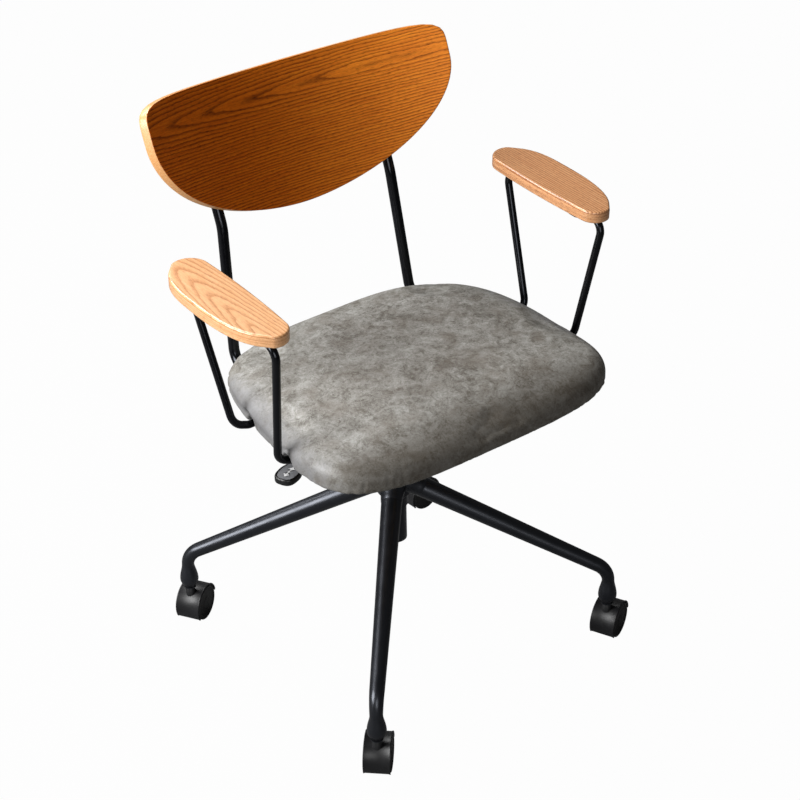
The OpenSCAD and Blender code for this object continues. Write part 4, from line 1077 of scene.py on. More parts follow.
@dataclass
class Armrest:
    """A wooden pad on a rod that is bent in one piece and runs under the seat."""

    finishes: Finishes
    side: Side
    pad_x: float = 223 * MM
    pad_w: float = 62 * MM
    pad_t: float = 16 * MM
    front: float = 126 * MM
    rear: float = 85.5 * MM
    widest: float = 3.5 * MM
    rear_r: float = 23.4 * MM
    front_r: float = 19.2 * MM
    bulge: float = 4.5 * MM
    pad_z: float = 612 * MM
    pitch_deg: float = 2.5
    edge_r: float = 2.5 * MM
    rod_d: float = 10 * MM
    x_rise: float = 211.5 * MM
    x_low: float = 233 * MM
    x_high: float = 246 * MM
    ys: tuple[float, float, float, float] = (-87 * MM, -119 * MM, 69 * MM, 10 * MM)
    z_low: float = 421.7 * MM
    z_bend: float = 430 * MM
    drop: float = 5.2 * MM
    bend_r: float = 16 * MM
    foot_r: float = 20 * MM
    x_end: float = 166 * MM
    end_r: float = 12 * MM
    middle: tuple[float, float] = (30 * MM, -20 * MM)
    sweep_n: float = 2.79
    sweep_deg: tuple[float, float] = (-74, 70)

    def pad_height(self, y: float) -> float:
        """Height of the rod's axis below the pad."""
        pitch = math.radians(self.pitch_deg)
        return self.pad_z + y * math.tan(pitch) - self.drop / math.cos(pitch)

    def rod(self) -> Shape:
        """The bent rod: out from under the board, up its leaning legs and along under the pad."""
        s, (a, b, c, d) = self.side.value, self.ys
        up = [(self.x_end, a, self.z_low), (self.x_rise, a, self.z_low), (self.x_low, a, self.z_bend),
              (self.x_high, b, self.pad_height(b))]
        down = [(self.x_high, c, self.pad_height(c)), (self.x_low, d, self.z_bend),
                (self.x_rise, d, self.z_low), (self.x_end, d, self.z_low)]
        radii = [self.end_r, self.foot_r, self.bend_r]
        return bent_rod([(s * x, y, z) for x, y, z in up + down], radii + radii[::-1], self.rod_d, 36, 16)

    def outline(self, inset: float) -> Array:
        """Plan outline of the pad on the left: a slightly bowed inner edge and one long outer sweep."""
        t = np.radians(np.linspace(*self.sweep_deg, 87))
        b = np.where(t < 0, self.front + self.widest, self.rear - self.widest) - inset
        r = oval_r(self.pad_w - inset, b, self.sweep_n, t)
        out = [(float(q * math.cos(a)), float(self.widest + q * math.sin(a))) for q, a in zip(r, t)]
        rear_y, front_y = self.rear - self.rear_r, -self.front + self.front_r
        for radius, cy, start, stop in ((self.rear_r, rear_y, 60, 180), (self.front_r, front_y, 180, 300)):
            for a in np.radians(np.linspace(start, stop, 19)):
                out.append((radius + (radius - inset) * math.cos(a), cy + (radius - inset) * math.sin(a)))
        out += [(inset, y) for y in np.linspace(rear_y, front_y, 19)[1:-1]]
        outline = np.array(out)
        along = (2 * outline[:, 1] - self.rear + self.front) / (self.rear + self.front)
        outline[:, 0] -= self.bulge * (1 - along**2) * (1 - outline[:, 0] / self.pad_w)
        return convex(outline)

    def pad(self) -> Shape:
        """The pad, with rounded edges; its grain runs front to back."""
        r, t = self.edge_r, self.pad_t
        high = rounded(r, 8)
        wall = [*reversed(high), (0.0, t / 3), (0.0, t * 2 / 3), *((inset, t - z) for inset, z in high)]
        middle = np.array(self.middle)
        rim = self.outline(0.0) - middle
        angles = np.unique(np.round(np.arctan2(rim[:, 1], rim[:, 0]), 4))
        shrinks = (0.05, 0.3, 0.6, 0.85, 0.96)
        rows = [(r, 0.0, k) for k in shrinks] + [(inset, z, 1.0) for inset, z in wall]
        rows += [(r, t, k) for k in reversed(shrinks)]
        rings = []
        for inset, z, shrink in rows:
            flat = middle + shrink * ray_points(self.outline(inset) - middle, angles)
            rings.append(np.column_stack([flat, np.full(len(flat), z)]))
        rings = np.array(rings)
        grain = np.stack([-rings[..., 1], rings[..., 0] - middle[0], rings[..., 2] - t], -1)
        rings[..., 0] = self.side.value * (self.pad_x + rings[..., 0])
        pitch = Matrix.Translation((0, 0, self.pad_z)) @ Matrix.Rotation(math.radians(self.pitch_deg), 4, "X")
        return skin(rings, grain).moved(pitch)

    def build(self) -> None:
        """Makes the rod and the pad."""
        word = self.side.word
        place(make("arm_rod_" + word, self.rod(), [self.finishes.rod], 50), "seat", "black_steel",
              "arm_hoop_" + word)
        wood = self.finishes.pad_left_shaded if self.side is Side.LEFT else self.finishes.pad_right
        place(make("arm_pad_" + word, self.pad(), [wood], 50), "seat", "light_ash", "armrest_" + word)


@dataclass
class Back:
    """The moulded backrest and the two bent tubes that carry it."""

    finishes: Finishes
    width: float = 469 * MM
    height: float = 182 * MM
    widest: float = 129 * MM
    t: float = 13 * MM
    r: float = 450 * MM
    tilt_deg: float = 21
    y: float = 169 * MM
    z: float = 600 * MM
    bottom_n: float = 1.86
    top_n: float = 6.87
    edge_r: float = 3 * MM
    front_r: float = 1.2 * MM
    tube_d: float = 14 * MM
    x_low: float = UPRIGHT_X
    x_high: float = 131.5 * MM
    upright_y: float = 146.8 * MM
    run_y: float = 24 * MM
    rise: float = 128 * MM
    low_z: float = 419.7 * MM
    bends: tuple[float, float] = (25 * MM, 80 * MM)

    def frame(self) -> Matrix:
        """From the backrest's frame, z up its slope, to the chair's."""
        return Matrix.Translation((0, self.y, self.z)) @ Matrix.Rotation(math.radians(-self.tilt_deg), 4, "X")

    def off(self) -> float:
        """Depth of the tubes' axis in the backrest's frame."""
        return math.sqrt((self.r + self.t + 1.5 * MM + self.tube_d / 2) ** 2 - self.x_high**2) - self.r

    def ring(self, inset: float, depth: float, shrink: float = 1.0, m: int = 220) -> tuple[Array, Array]:
        """One outline of the shell, drawn in, at a depth behind its front face.

        Args:
            inset: How far it is drawn in from the edge.
            depth: Depth behind the front face.
            shrink: Scale about the middle of the widest line.
            m: Points round the outline.

        Returns:
            Points in the backrest's frame, and their grain coordinates.
        """
        t = np.linspace(0, 2 * np.pi, m, endpoint=False)
        up = np.sin(t) > 0
        b = np.where(up, self.height - self.widest, self.widest) - inset
        n = np.where(up, self.top_n, self.bottom_n)
        q = oval_r(self.width / 2 - inset, b, n, t)
        s, z = q * np.cos(t) * shrink, self.widest + q * np.sin(t) * shrink
        a = s / self.r
        points = np.stack([(self.r + depth) * np.sin(a), (self.r + depth) * np.cos(a) - self.r, z], 1)
        return points, np.stack([s, z, np.full(m, depth)], 1)

    def shell(self) -> Shape:
        """The shell: veneered faces in slot 0 and its pale edge in slot 1."""
        e, t = self.edge_r, self.t
        front_r = self.front_r
        inward = (0.92, 0.8, 0.65, 0.5, 0.35, 0.2, 0.08)
        rows = [(e, t, s) for s in reversed(inward)]
        rows += [(inset, t - down, 1.0) for inset, down in reversed(rounded(e, 7))]
        edge_from = len(rows) - 4
        rows += [(0.0, t * 0.5, 1.0)]
        rows += [(inset, down, 1.0) for inset, down in rounded(front_r, 6)]
        edge_to = len(rows) - 4
        rows += [(front_r, 0.0, s) for s in (0.985, 0.96, *inward)]
        made = [self.ring(*row) for row in rows]
        slots = [1 if edge_from <= i < edge_to else 0 for i in range(len(rows) - 1)]
        return skin(np.array([p for p, _ in made]), np.array([g for _, g in made]), slots)

    def upright(self, side: Side) -> Shape:
        """One tube, from below the seat to behind the shell."""
        s = side.value
        frame = self.frame()
        high = [tuple(frame @ Vector((s * self.x_high, self.off(), h))) for h in (3 * MM, self.rise)]
        low = [(s * self.x_low, y, self.low_z) for y in (self.run_y, self.upright_y)]
        return bent_rod(low + high, self.bends, self.tube_d, 40, 18)

    def build(self) -> None:
        """Makes the shell and the tubes."""
        shell = self.shell().moved(self.frame())
        place(make("back_shell", shell, [self.finishes.back, self.finishes.back_edge], 60), "seat",
              "walnut_ply", "backrest")
        for side in Side:
            place(make("back_tube_" + side.word, self.upright(side), [self.finishes.rod], 50), "seat",
                  "black_steel",
                  "upright_" + side.word)


@dataclass
class Crossings:
    """Where the arm rods and the uprights pass under the seat's border and out of it."""

    rod_ys: tuple[float, float] = (-87 * MM, 10 * MM)
    rod_from_x: float = 150 * MM
    rod_rise_x: float = 211.5 * MM
    rod_slope: float = 0.386
    rod_z: float = 427.1 * MM
    tube_from_y: float = 60 * MM
    bend_y: float = 121.8 * MM
    bend_z: float = 444.9 * MM
    bend_r: float = 18 * MM
    bend_end: float = 17.9 * MM

    def near(self, gap: Array, half: float, fade: float) -> Array:
        """How much of a crossing a place is in, 0 to 1.

        Args:
            gap: Distance from the metal's axis.
            half: Distance up to which the place is fully in it.
            fade: Width over which that ends.

        Returns:
            The share.
        """
        return smooth(1 - np.clip((gap - half) / fade, 0, 1))

    def top(self, x: Array, y: Array) -> tuple[Array, Array]:
        """Looks up the metal under places on the border.

        Args:
            x: Places across.
            y: Places along.

        Returns:
            The height of the metal's top there, and how much of the crossing a place is in, 0 to 1.
        """
        top, share = np.zeros_like(x), np.zeros_like(x)
        rise = np.maximum(0.0, np.abs(x) - self.rod_rise_x) * self.rod_slope
        for rod_y in self.rod_ys:
            near = self.near(np.abs(y - rod_y), 5.6 * MM, 9 * MM) * (np.abs(x) > self.rod_from_x)
            top = np.where(near > share, self.rod_z + rise, top)
            share = np.maximum(share, near)
        near = self.near(np.abs(np.abs(x) - UPRIGHT_X), 7.6 * MM, 11 * MM) * (y > self.tube_from_y)
        bend = np.clip(y - self.bend_y, 0, self.bend_end)
        top = np.where(near > share, self.bend_z - np.sqrt(self.bend_r**2 - bend**2), top)
        return top, np.maximum(share, near)


@dataclass
class Cushion:
    """The upholstered seat: foam under coated leather that is pulled round the edge of its board."""

    finishes: Finishes
    crossings: Crossings = field(default_factory=Crossings)
    width: float = 443 * MM
    front: float = 218 * MM
    rear: float = 140 * MM
    widest: float = 87 * MM
    z: float = 417 * MM
    edge_h: float = 38 * MM
    crown: float = 12 * MM
    top_r: float = 22 * MM
    bottom_r: float = 7 * MM
    front_n: float = 3.8
    rear_n: float = 5.8
    taper: float = 0.14
    seen_rear: float = 146 * MM
    seen_rear_n: float = 3.2
    seen_taper: float = 0.0
    inner_rows: int = 14
    board_z: float = 427 * MM
    border: float = 13 * MM
    hem: float = 35 * MM
    roll_from: float = 145 * MM
    roll_over: float = 73 * MM
    roll_drop: float = 9.5 * MM
    held_rows: int = 13
    held_up_to: float = 1 * MM
    held_fade: float = 11 * MM
    staple_pitch: float = 19 * MM
    corners_deg: tuple[float, ...] = (40, 140, 217, 323)
    around: int = 640
    sim_around: int = 160

    def ring(self, inset: float, z: float, shrink: float = 1.0, around: int = 0, seen: bool = False) -> Array:
        """One outline of the seat at a height.

        Args:
            inset: How far it is drawn in from the widest outline.
            z: Its height.
            shrink: Scale about the middle of the widest line.
            around: Points round it, or 0 for the usual number.
            seen: Whether it bulges over the board as the photographed seat does, rounder at the rear.

        Returns:
            The ring's points.
        """
        m = around or self.around
        rear, rear_n, taper = self.rear, self.rear_n, self.taper
        if seen:
            rear, rear_n, taper = self.seen_rear, self.seen_rear_n, self.seen_taper
        t = np.linspace(0, 2 * np.pi, m, endpoint=False)
        low = np.sin(t) < 0
        b = np.where(low, self.front - self.widest, rear + self.widest) - inset
        r = oval_r(self.width / 2 - inset, b, np.where(low, self.front_n, rear_n), t)
        y = r * np.sin(t)
        x = r * np.cos(t) * (1 - taper * np.maximum(0, y) / (rear + self.widest))
        return np.stack([x * shrink, y * shrink - self.widest, np.full(m, z)], 1)

    def rows(self) -> list[tuple[float, float, float]]:
        """Inset, height and scale of each ring, from the hem under the board to the crown."""
        z, top, under, b = self.z, self.z + self.edge_h, self.board_z, self.bottom_r
        inner = self.border - 0.4 * MM
        rows = [(self.hem + i * MM, under + h * MM, 1.0) for i, h in ((2, 2), (0, 0.4), (-0.5, -0.5))]
        rows += [(inset * MM, under - 0.6 * MM, 1.0) for inset in (31, 27, 23, 19.5)]
        lip = ((4, 0.9), (2, 2.0), (0.8, 3.8), (0.2, 6.0))
        rows += [(inner + i * MM, under - h * MM, 1.0) for i, h in lip]
        rows += [(inner - i * MM, z + h * MM, 1.0) for i, h in ((0.4, 2.2), (1.6, 0.8), (3.2, 0.1))]
        rows += [(b * (1 - math.sin(a)), z + b * (1 - math.cos(a)), 1.0)
                 for a in np.radians(np.linspace(10, 90, 9))]
        rows += [(0.0, z + b + h * MM, 1.0) for h in (2, 4, 6.5)]
        rows += [(inset, top - down, 1.0) for inset, down in rounded(self.top_r, 17)]
        return rows + [(self.top_r, top + self.crown * (1 - s * s), s) for s in np.linspace(0.975, 0.02, 36)]

    def at_rest(self, around: int) -> Array:
        """All rings of the seat before its cover settles."""
        rings = np.array([self.ring(*row, around) for row in self.rows()])
        # Its upper edge bulges past the wall below, rounder at the rear corners
        seen = np.array([self.ring(*row, around, seen=True) for row in self.rows()])
        share = np.clip((rings[..., 2:] - self.z - 12 * MM) / (20 * MM), 0, 1)
        share[: self.inner_rows] = 0.0
        rings[..., :2] += ((seen - rings) * smooth(share))[..., :2]
        # The front rolls over in a longer curve than the sides
        y, z = rings[..., 1], rings[..., 2]
        high = np.clip((z - self.z - 14 * MM) / (36 * MM), 0, 1)
        lean = np.clip((-y - self.roll_from) / self.roll_over, 0, 1) ** 2
        rings[..., 2] = z - self.roll_drop * lean * high
        return rings

    def settled(self, rings: Array) -> Array:
        """How the cover moves when it settles as cloth over its foam, held where it is stapled.

        Args:
            rings: The rings at rest, as (ring, place round it, xyz).

        Returns:
            The shift of every point, no longer than the cap.
        """
        n, m = rings.shape[:2]
        piece = make("cover_sim", skin(rings), [self.finishes.leather])
        group = piece.vertex_groups.new(name="held")
        height = rings.reshape(-1, 3)[:, 2]
        for i, h in enumerate(height):
            hold = float(np.clip(1 - (h - self.z - self.held_up_to) / self.held_fade, 0, 1))
            group.add([i], hold if i // m >= self.held_rows else 1.0, "REPLACE")
        group.add([n * m], 1.0, "REPLACE")
        group.add([n * m + 1], 0.0, "REPLACE")
        cloth = piece.modifiers.new("cloth", "CLOTH")
        for key, value in CLOTH.items():
            setattr(cloth.settings, key, value)
        cloth.settings.effector_weights.gravity = 0
        cloth.collision_settings.use_collision = False
        cloth.point_cache.frame_start, cloth.point_cache.frame_end = 1, CLOTH_FRAMES
        for step in range(1, CLOTH_FRAMES + 1):
            bpy.context.scene.frame_set(step)
        done = piece.evaluated_get(bpy.context.evaluated_depsgraph_get()).to_mesh()
        moved = np.zeros(len(done.vertices) * 3)
        done.vertices.foreach_get("co", moved)
        bpy.context.scene.frame_set(1)
        bpy.data.objects.remove(piece)
        shift = moved.reshape(-1, 3)[: n * m].reshape(n, m, 3) - rings
        far = np.linalg.norm(shift, axis=-1, keepdims=True)
        LOG.info("cover settled by up to %.1f mm", 1000 * float(far.max()))
        return shift * np.minimum(1.0, CLOTH_CAP / np.maximum(far, 1e-9))

    def spread(self, shift: Array) -> Array:
        """The shift of the simulated rings, carried to the finer rings of the finished cover."""
        m = shift.shape[1]
        at = np.arange(self.around) * m / self.around
        low = np.floor(at).astype(int)
        part = (at - low)[None, :, None]
        part = smooth(part)
        return shift[:, low % m] * (1 - part) + shift[:, (low + 1) % m] * part

    def wave(self, rng: np.random.Generator, y: Array, up: Array, outer: Array, push: Array,
             lift: Array) -> None:
        """Waves the lower edge, which is never straight: it follows the pull of each staple.

        Args:
            rng: The source of random draws.
            y: Places along the seat.
            up: Millimetres above the cushion's foot.
            outer: Whether a row is on the wall.
            push: How far each point moves outwards, which this changes.
            lift: How far it rises, which this changes.
        """
        turn = self.turns()
        low = np.exp(-(np.maximum(0, up - 4) / 7.5) ** 2) * outer
        calm = 1 - 0.75 * np.exp(-(((y + self.front) / (60 * MM)) ** 2))
        for waves, depth in ((23, 0.45), (37, 0.45), (61, 0.3), (83, 0.15), (113, 0.1)):
            a, b = rng.uniform(0, 6.28, 2)
            beat = 0.5 + 0.5 * np.sin(turn * rng.integers(3, 9) + b)
            push -= depth * MM * (0.5 + 0.5 * np.sin(waves * turn + a)) * beat * low * calm
            lift += 0.8 * depth * MM * np.sin(waves * turn + a + 0.7) * beat * low * calm

    def gather(self, rng: np.random.Generator, up: Array, outer: Array, push: Array) -> None:
        """Gathers the wall: narrow creases climb from the hem, close together round the corners."""
        turn = self.turns()
        places = [(rng.uniform(0, 2 * math.pi), 0.6) for _ in range(30)]
        for corner in self.corners_deg:
            places += [(math.radians(corner + rng.uniform(-12, 12)), 1.2) for _ in range(6)]
        for a, strength in places:
            width, depth, tall = (rng.uniform(*span) for span in ((0.007, 0.016), (0.35, 0.9), (9, 22)))
            depth *= strength
            lean = rng.uniform(-0.0012, 0.0012)
            gap = (turn - a - lean * up + np.pi) % (2 * np.pi) - np.pi
            beside = (np.abs(gap) - 1.9 * width) / width
            crease = np.exp(-((gap / width) ** 2)) - 0.45 * np.exp(-(beside**2))
            push -= depth * MM * crease * np.exp(-(np.maximum(0, up - 3) / tall) ** 2) * outer

    def pinch(self, x: Array, y: Array, up: Array, push: Array) -> None:
        """Presses the leather in over each rod, with a soft fold on both sides."""
        for s in (-1, 1):
            for rod_y, rod_x, depth in zip(self.crossings.rod_ys, (221 * MM, 208 * MM), (3.4, 2.6)):
                by_x = ((x - s * rod_x) / (20 * MM)) ** 2
                over = np.exp(-(((y - rod_y) / (9 * MM)) ** 2) - by_x)
                beside = np.exp(-(((np.abs(y - rod_y) - 21 * MM) / (9 * MM)) ** 2) - by_x)
                push -= depth * MM * over * np.exp(-(((up - 15) / 8) ** 2))
                push += 0.9 * MM * beside * np.exp(-(((up - 12) / 9) ** 2))

    def turns(self) -> Array:
        """The direction of every place round the seat, in radians, as one row."""
        return np.linspace(0, 2 * np.pi, self.around, endpoint=False)[None]

    def tucked(self, rings: Array) -> Array:
        """Adds the waves and gathers at the hem, and the pinches over the rods and tubes."""
        rng = np.random.default_rng(SEED)
        x, y, z = (rings[..., i].copy() for i in range(3))
        flat = np.stack([x, y + 50 * MM], -1)
        away = flat / np.maximum(np.linalg.norm(flat, axis=-1, keepdims=True), 1e-9)
        rows = self.rows()
        outer = np.array([inset < 12 * MM and shrink == 1.0 for inset, _, shrink in rows])[:, None]
        up = (z - self.z) / MM
        push, lift = np.zeros_like(z), np.zeros_like(z)
        self.wave(rng, y, up, outer, push, lift)
        self.gather(rng, up, outer, push)
        self.pinch(x, y, up, push)
        out = rings.copy()
        out[..., :2] += away * push[..., None]
        out[..., 2] += lift
        # The lip rises over rods and tubes, and the wall above it is squeezed together
        top, share = self.crossings.top(out[..., 0], out[..., 1])
        height = out[..., 2]
        need = np.maximum(0.0, top + 0.5 * MM - self.z)
        fade = np.clip(1 - (height - self.z) / (30 * MM), 0, 1) ** 1.25
        rim = np.array([float(inset <= 17.5 * MM and shrink == 1.0) for inset, _, shrink in rows])[:, None]
        out[..., 2] = height + share * need * fade * rim
        # The top is never quite even: low swells, well under a millimetre
        swell = np.zeros_like(z)
        for _ in range(9):
            fx, fy, phase = rng.uniform(8, 34), rng.uniform(8, 34), rng.uniform(0, 6.3)
            swell += np.sin(fx * x + fy * y + phase)
        out[..., 2] += 0.16 * MM * swell * np.clip((z - self.z - 20 * MM) / (20 * MM), 0, 1)
        return out

    def build(self) -> None:
        """Makes the padded seat."""
        rings = self.at_rest(self.around)
        rings = rings + self.spread(self.settled(self.at_rest(self.sim_around)))
        piece = make("seat_cover", skin(self.tucked(rings)), [self.finishes.leather], 80)
        place(piece, "seat", "grey_leather", "seat_cushion")

    def hem_places(self) -> Places:
        """Where the staples sit in the hem, clear of the plates, rods and tubes."""
        ring = self.ring(26 * MM, self.board_z - 0.6 * MM)
        steps = np.linalg.norm(np.roll(ring, -1, 0) - ring, axis=1)
        reach = np.concatenate([[0], np.cumsum(steps)])
        out = []
        rods = (min(self.crossings.rod_ys) - 33 * MM, max(self.crossings.rod_ys) + 30 * MM)
        for k in range(int(float(reach[-1]) / self.staple_pitch)):
            i = int(np.searchsorted(reach, (k + 0.5) * self.staple_pitch)) % self.around
            p = ring[i]
            by_upright = abs(abs(p[0]) - UPRIGHT_X) < 14 * MM and p[1] > 0
            if by_upright or (abs(p[0]) > 145 * MM and rods[0] < p[1] < rods[1]):
                continue
            along = unit(ring[(i + 1) % self.around] - ring[i - 1])
            out.append((p, (0, 0, -1), tuple(turned(along, np.array([0, 0, 1.0]), 0.25 * math.sin(7.0 * k)))))
        return out


@dataclass
class Lever:
    """The height lever: a bent rod with a moulded paddle."""

    finishes: Finishes
    turn_deg: float = 194.6
    pivot: float = 24 * MM
    z: float = 375.8 * MM
    reach: float = 173 * MM
    d: float = 7 * MM
    paddle_deg: float = 205
    paddle_l: float = 58 * MM
    paddle_w: float = 29 * MM
    paddle_t: float = 9 * MM
    top_z: float = 385 * MM

    def rod(self) -> Shape:
        """The rod, with the boss that takes its pin."""
        a, b = math.radians(self.turn_deg), math.radians(self.paddle_deg)
        along = np.array([math.cos(a), math.sin(a), 0])
        up = np.array([0, 0, self.z])
        end = self.reach * along + np.array([0, 0, self.top_z - self.paddle_t / 2])
        corners = [-4 * MM * along + up, 60 * MM * along + up, end,
                   end + 0.55 * self.paddle_l * np.array([math.cos(b), math.sin(b), 0])]
        boss = lathe([(r * MM, z * MM) for r, z in ((2.55, -4.2), (5, -4.2), (5, 4.2), (2.55, 4.2))], 40)
        frame_at = (Matrix.Translation(self.pivot * Vector(along) + Vector(up)) @ Matrix.Rotation(a, 4, "Z")
                    @ Matrix.Rotation(math.pi / 2, 4, "X"))
        return merged([bent_rod(corners, [40 * MM, 40 * MM], self.d, 28, 12), boss.moved(frame_at)])

    def paddle(self) -> Shape:
        """The paddle: thick rounded sides in slot 0, a raised rim and a paler top in slot 1."""
        t = np.linspace(0, 2 * np.pi, 96, endpoint=False)
        half, wide = self.paddle_w / 2, self.paddle_l * 0.36

        def outline(inset: float, z: float) -> Array:
            """Plan of the paddle, wide at its end and narrow at the rod."""
            r = oval_r(wide - inset, half - inset, 3.0, t)
            x, y = r * np.cos(t), r * np.sin(t)
            neck = np.clip(-x / wide, 0, 1) ** 1.5
            x = x * (1 + 0.35 * neck) + self.paddle_l * 0.615
            return np.stack([x, y * (1 - 0.52 * neck), np.full(len(t), z)], 1)

        # Inset, then height from the paddle's underside and from its top, in millimetres
        h = self.paddle_t / 2
        under = ((6.0, 0), (2.4, 0), (1.1, 0.35), (0.3, 1.2), (0.0, 2.2))
        over = ((0.0, 1.8), (0.25, 0.9), (0.8, 0.25), (1.5, 0), (2.1, 0), (2.5, 0.25), (2.9, 0.55),
                (3.3, 0.6), (6.0, 0.6), (9.0, 0.55))
        rows = [(inset, -h + up * MM) for inset, up in under]
        rows += [(inset, h - down * MM) for inset, down in over]
        slots = [0] * 11 + [1] * 3
        shape = skin(np.array([outline(inset * MM, z) for inset, z in rows]), slots=slots)
        neck = lathe([(r * MM, z * MM) for r, z in ((4.6, 1), (4.9, 2), (5.1, 12), (4.2, 16))], 32)
        return merged([shape, neck.moved(Matrix.Rotation(math.pi / 2, 4, "Y"))])

    def mark(self) -> Shape:
        """A plain two-headed arrow on the paddle's top."""
        z = self.paddle_t / 2 - 0.6 * MM
        half = [(-8, 0), (-4.2, 3.2), (-4.2, 1.0), (4.2, 1.0), (4.2, 3.2)]
        outline = half + [(-x, -y) for x, y in half]
        rings = [[(1.35 * x * MM + 37 * MM, 1.35 * y * MM, z + dz) for x, y in outline]
                 for dz in (-0.1 * MM, 0.12 * MM)]
        return skin(np.array(rings))

    def build(self) -> None:
        """Makes the rod, the paddle and its mark."""
        place(make("height_lever_rod", self.rod(), [self.finishes.rod], 50), "lever", "black_steel",
              "lever_rod")
        a, b = math.radians(self.turn_deg), math.radians(self.paddle_deg)
        z = self.top_z - self.paddle_t / 2
        at = Matrix.Translation((self.reach * math.cos(a), self.reach * math.sin(a), z))
        at = at @ Matrix.Rotation(b, 4, "Z")
        paddle = self.paddle().moved(at)
        place(make("height_lever_paddle", paddle, [self.finishes.paddle, self.finishes.paddle_top], 50),
              "lever", "black_paddle",
              "lever_paddle")
        place(make("height_lever_arrow", self.mark().moved(at), [self.finishes.mark], 20), "lever",
              "black_paddle")


@dataclass
class Fasteners:
    """Screws and staples: heads with a key recess, and wire staples in the hem."""

    finishes: Finishes
    repeater: Repeater
    cushion: Cushion
    back: Back
    head_d: float = 11.5 * MM
    head_h: float = 3 * MM
    back_head_d: float = 9.5 * MM
    back_head_h: float = 2.6 * MM

    def screws(self) -> None:
        """Lays out the pan-head screws under the seat, each group as the CAD has it."""
        plate = ((174, -67), (174, -8), (192, -38.5))
        # Places in millimetres, and the length of the screw
        groups = {
            "seat_plate_screws": ([(s * 70, y, 424) for s in (-1, 1) for y in (-59, 59)], 13 * MM),
            "arm_plate_screws": ([(s * x, y, 423) for s in (-1, 1) for x, y in plate], 14 * MM),
            "upright_screws": ([(s * 143, y, 412.7) for s in (-1, 1) for y in (44, 84)], 25 * MM),
        }
        for node, (spots, length) in groups.items():
            small = pan_head(self.head_d, self.head_h, 6 * MM, length, 4 * MM)
            points = [((x * MM, y * MM, z * MM), (0, 0, -1), (1, 0, 0)) for x, y, z in spots]
            self.lay(node, small, points)
        frame_at = self.back.frame()
        turn = frame_at.to_3x3()
        rear = self.back.off() + self.back.tube_d / 2
        outward = tuple(turn @ Vector((0, 1, 0)))
        points = [(tuple(frame_at @ Vector((s * self.back.x_high, rear, h * MM))), outward, (1, 0, 0))
                  for s in (-1, 1) for h in (58, 108)]
        small = pan_head(self.back_head_d, self.back_head_h, 5 * MM, 24 * MM, 3 * MM)
        self.lay("backrest_screws", small, points)

    def lay(self, node: str, small: Shape, points: Places) -> None:
        """Lays out one group of screws in the place of its CAD node."""
        laid = self.repeater.lay(node + "_set", small, points, self.finishes.zinc)
        place(laid, "seat", "zinc_steel", node)

    def staples(self) -> None:
        """Lays the wire staples that hold the leather's hem to the board."""
        wire, crown = 0.7 * MM, 9 * MM
        bent = ((-1, -0.6), (-1, 0.25), (1, 0.25), (1, -0.6))
        corners = [(side * crown / 2, 0, h * MM) for side, h in bent]
        small = bent_rod(corners, [0.4 * MM, 0.4 * MM], wire, 8, 3, 0.05 * MM)
        piece = self.repeater.lay("hem_staples", small, self.cushion.hem_places(), self.finishes.zinc)
        place(piece, "seat", "zinc_steel")


# ---------------------------------------------------------------------------------------
# Studio

# The point that every lamp faces, at the middle of the chair
AIM = (0, 0, 0.5)


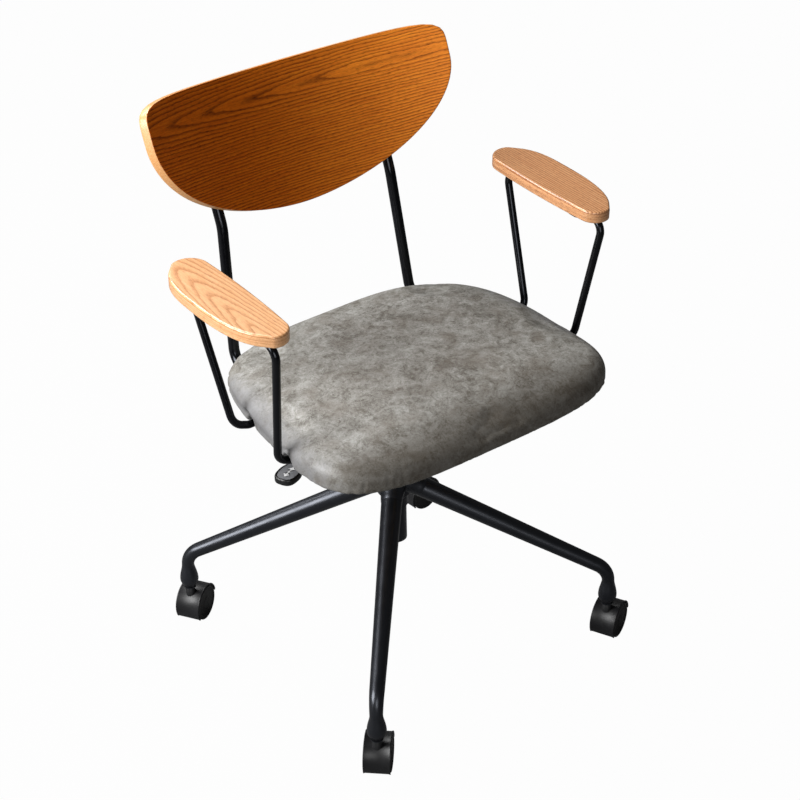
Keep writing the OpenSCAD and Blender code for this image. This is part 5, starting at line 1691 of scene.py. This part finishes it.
@dataclass
class Studio:
    """Camera at the photograph's place, a white floor and soft light, strongest from the left."""

    position: tuple[float, float, float] = (-1.1729, -1.6027, 1.6446)
    azimuth_deg: float = -36.49
    elevation_deg: float = 32.53
    roll_deg: float = -1.17
    lens_mm: float = 81.98

    def camera(self) -> None:
        """Adds the camera."""
        a, e, r = (math.radians(v) for v in (self.azimuth_deg, self.elevation_deg, self.roll_deg))
        back = Vector((math.sin(a) * math.cos(e), -math.cos(a) * math.cos(e), math.sin(e)))
        right = Vector((math.cos(a), math.sin(a), 0))
        up = back.cross(right)
        right, up = math.cos(r) * right + math.sin(r) * up, -math.sin(r) * right + math.cos(r) * up
        data = bpy.data.cameras.new("camera")
        data.lens, data.sensor_width, data.sensor_height = self.lens_mm, 36.0, 36.0
        data.sensor_fit = "HORIZONTAL"
        camera = linked("camera", data)
        turn = Matrix((right, up, back)).transposed().to_4x4()
        camera.matrix_world = Matrix.Translation(self.position) @ turn
        bpy.context.scene.camera = camera

    def floor(self) -> None:
        """Adds the white floor; it keeps a soft shadow of the chair."""
        mesh = bpy.data.meshes.new("floor")
        s = 6.0
        mesh.from_pydata([(-s, -s, 0), (s, -s, 0), (s, s, 0), (-s, s, 0)], [], [(0, 1, 2, 3)])
        material = Finish("white_floor").build()
        tree = material.node_tree
        shader = tree.nodes["Principled BSDF"]
        join(shader, {"Base Color": linear("#6c6c6c"), "Roughness": 0.9, "Specular IOR Level": 0.1})
        path = add(tree, "ShaderNodeLightPath")
        seen = add(tree, MATH, {0: path.outputs["Is Camera Ray"], 1: 0.98}, operation="MULTIPLY")
        white = add(tree, "ShaderNodeEmission", {"Color": (1, 1, 1, 1), "Strength": 1.0})
        mix = add(tree, "ShaderNodeMixShader", {0: seen, 1: shader, 2: white})
        join(tree.nodes["Material Output"], {"Surface": mix})
        mesh.materials.append(material)
        floor = linked("floor", mesh)

    def lamp(self, name: str, where: Sequence[float], size: float, watts: float) -> None:
        """Adds one soft square lamp that faces the chair's middle.

        Args:
            name: Its name.
            where: Its place.
            size: Its width.
            watts: Its power.
        """
        data = bpy.data.lights.new(name, "AREA")
        data.shape, data.size, data.size_y, data.energy = "RECTANGLE", size, size, watts
        turn = (Vector(AIM) - Vector(where)).to_track_quat("-Z", "Y").to_matrix().to_4x4()
        linked(name, data).matrix_world = Matrix.Translation(where) @ turn

    def world(self) -> None:
        """Sets a dim white surround that camera and transmission rays see as white."""
        world = bpy.data.worlds.new("surround")
        bpy.context.scene.world = world
        world.use_nodes = True
        tree = world.node_tree
        path = add(tree, "ShaderNodeLightPath")
        seen = add(tree, MATH, {0: path.outputs["Is Camera Ray"], 1: path.outputs["Is Transmission Ray"]},
                   operation="MAXIMUM")
        level = add(tree, RANGE, {"Value": seen, "To Min": 0.09, "To Max": 1.0})
        join(tree.nodes["Background"], {"Strength": level, "Color": (1, 1, 1, 1)})

    def build(self) -> None:
        """Sets up camera, floor, lamps and surround."""
        self.camera()
        self.floor()
        self.world()
        self.lamp("key_left", (-2.4, 0.4, 1.5), 1.4, 100)
        self.lamp("top", (-0.4, 1.5, 2.45), 1.5, 78)
        self.lamp("fill_front", (-1.3, -2.2, 1.1), 1.2, 19)
        bpy.context.scene.view_settings.view_transform = "Standard"


def dress_nodes(finishes: Finishes) -> None:
    """Gives every CAD node the finish of its material slot."""
    by_slot = {
        "black_steel": finishes.pressed, "black_nylon": finishes.caster, "black_paddle": finishes.paddle,
        "bright_steel": finishes.steel, "zinc_steel": finishes.zinc, "birch_ply": finishes.ply,
        "light_ash": finishes.pad_left_shaded, "walnut_ply": finishes.back, "grey_leather": finishes.leather,
    }
    slots = {s["node"]: s["material_slot"] for s in frame["record"]["subparts"]}
    for name, piece in frame["nodes"].items():
        painted = name in ("base_hub", "column_tube") or name.startswith("caster_stem")
        material = finishes.leg if painted else by_slot[slots[name]]
        piece.data.materials.clear()
        piece.data.materials.append(material)


def main() -> None:
    """Builds the chair and its studio."""
    logging.basicConfig(level=logging.INFO, format="%(message)s")
    Studio().build()
    finishes = Finishes()
    dress_nodes(finishes)
    base = Base(finishes)
    base.build()
    for corner in Corner:
        Caster(finishes, base, corner, TRAIL_DEG[corner]).build()
    back = Back(finishes)
    back.build()
    for side in Side:
        Armrest(finishes, side).build()
    cushion = Cushion(finishes)
    cushion.build()
    Lever(finishes).build()
    fasteners = Fasteners(finishes, Repeater(), cushion, back)
    fasteners.screws()
    fasteners.staples()


if __name__ == "__main__":
    main()
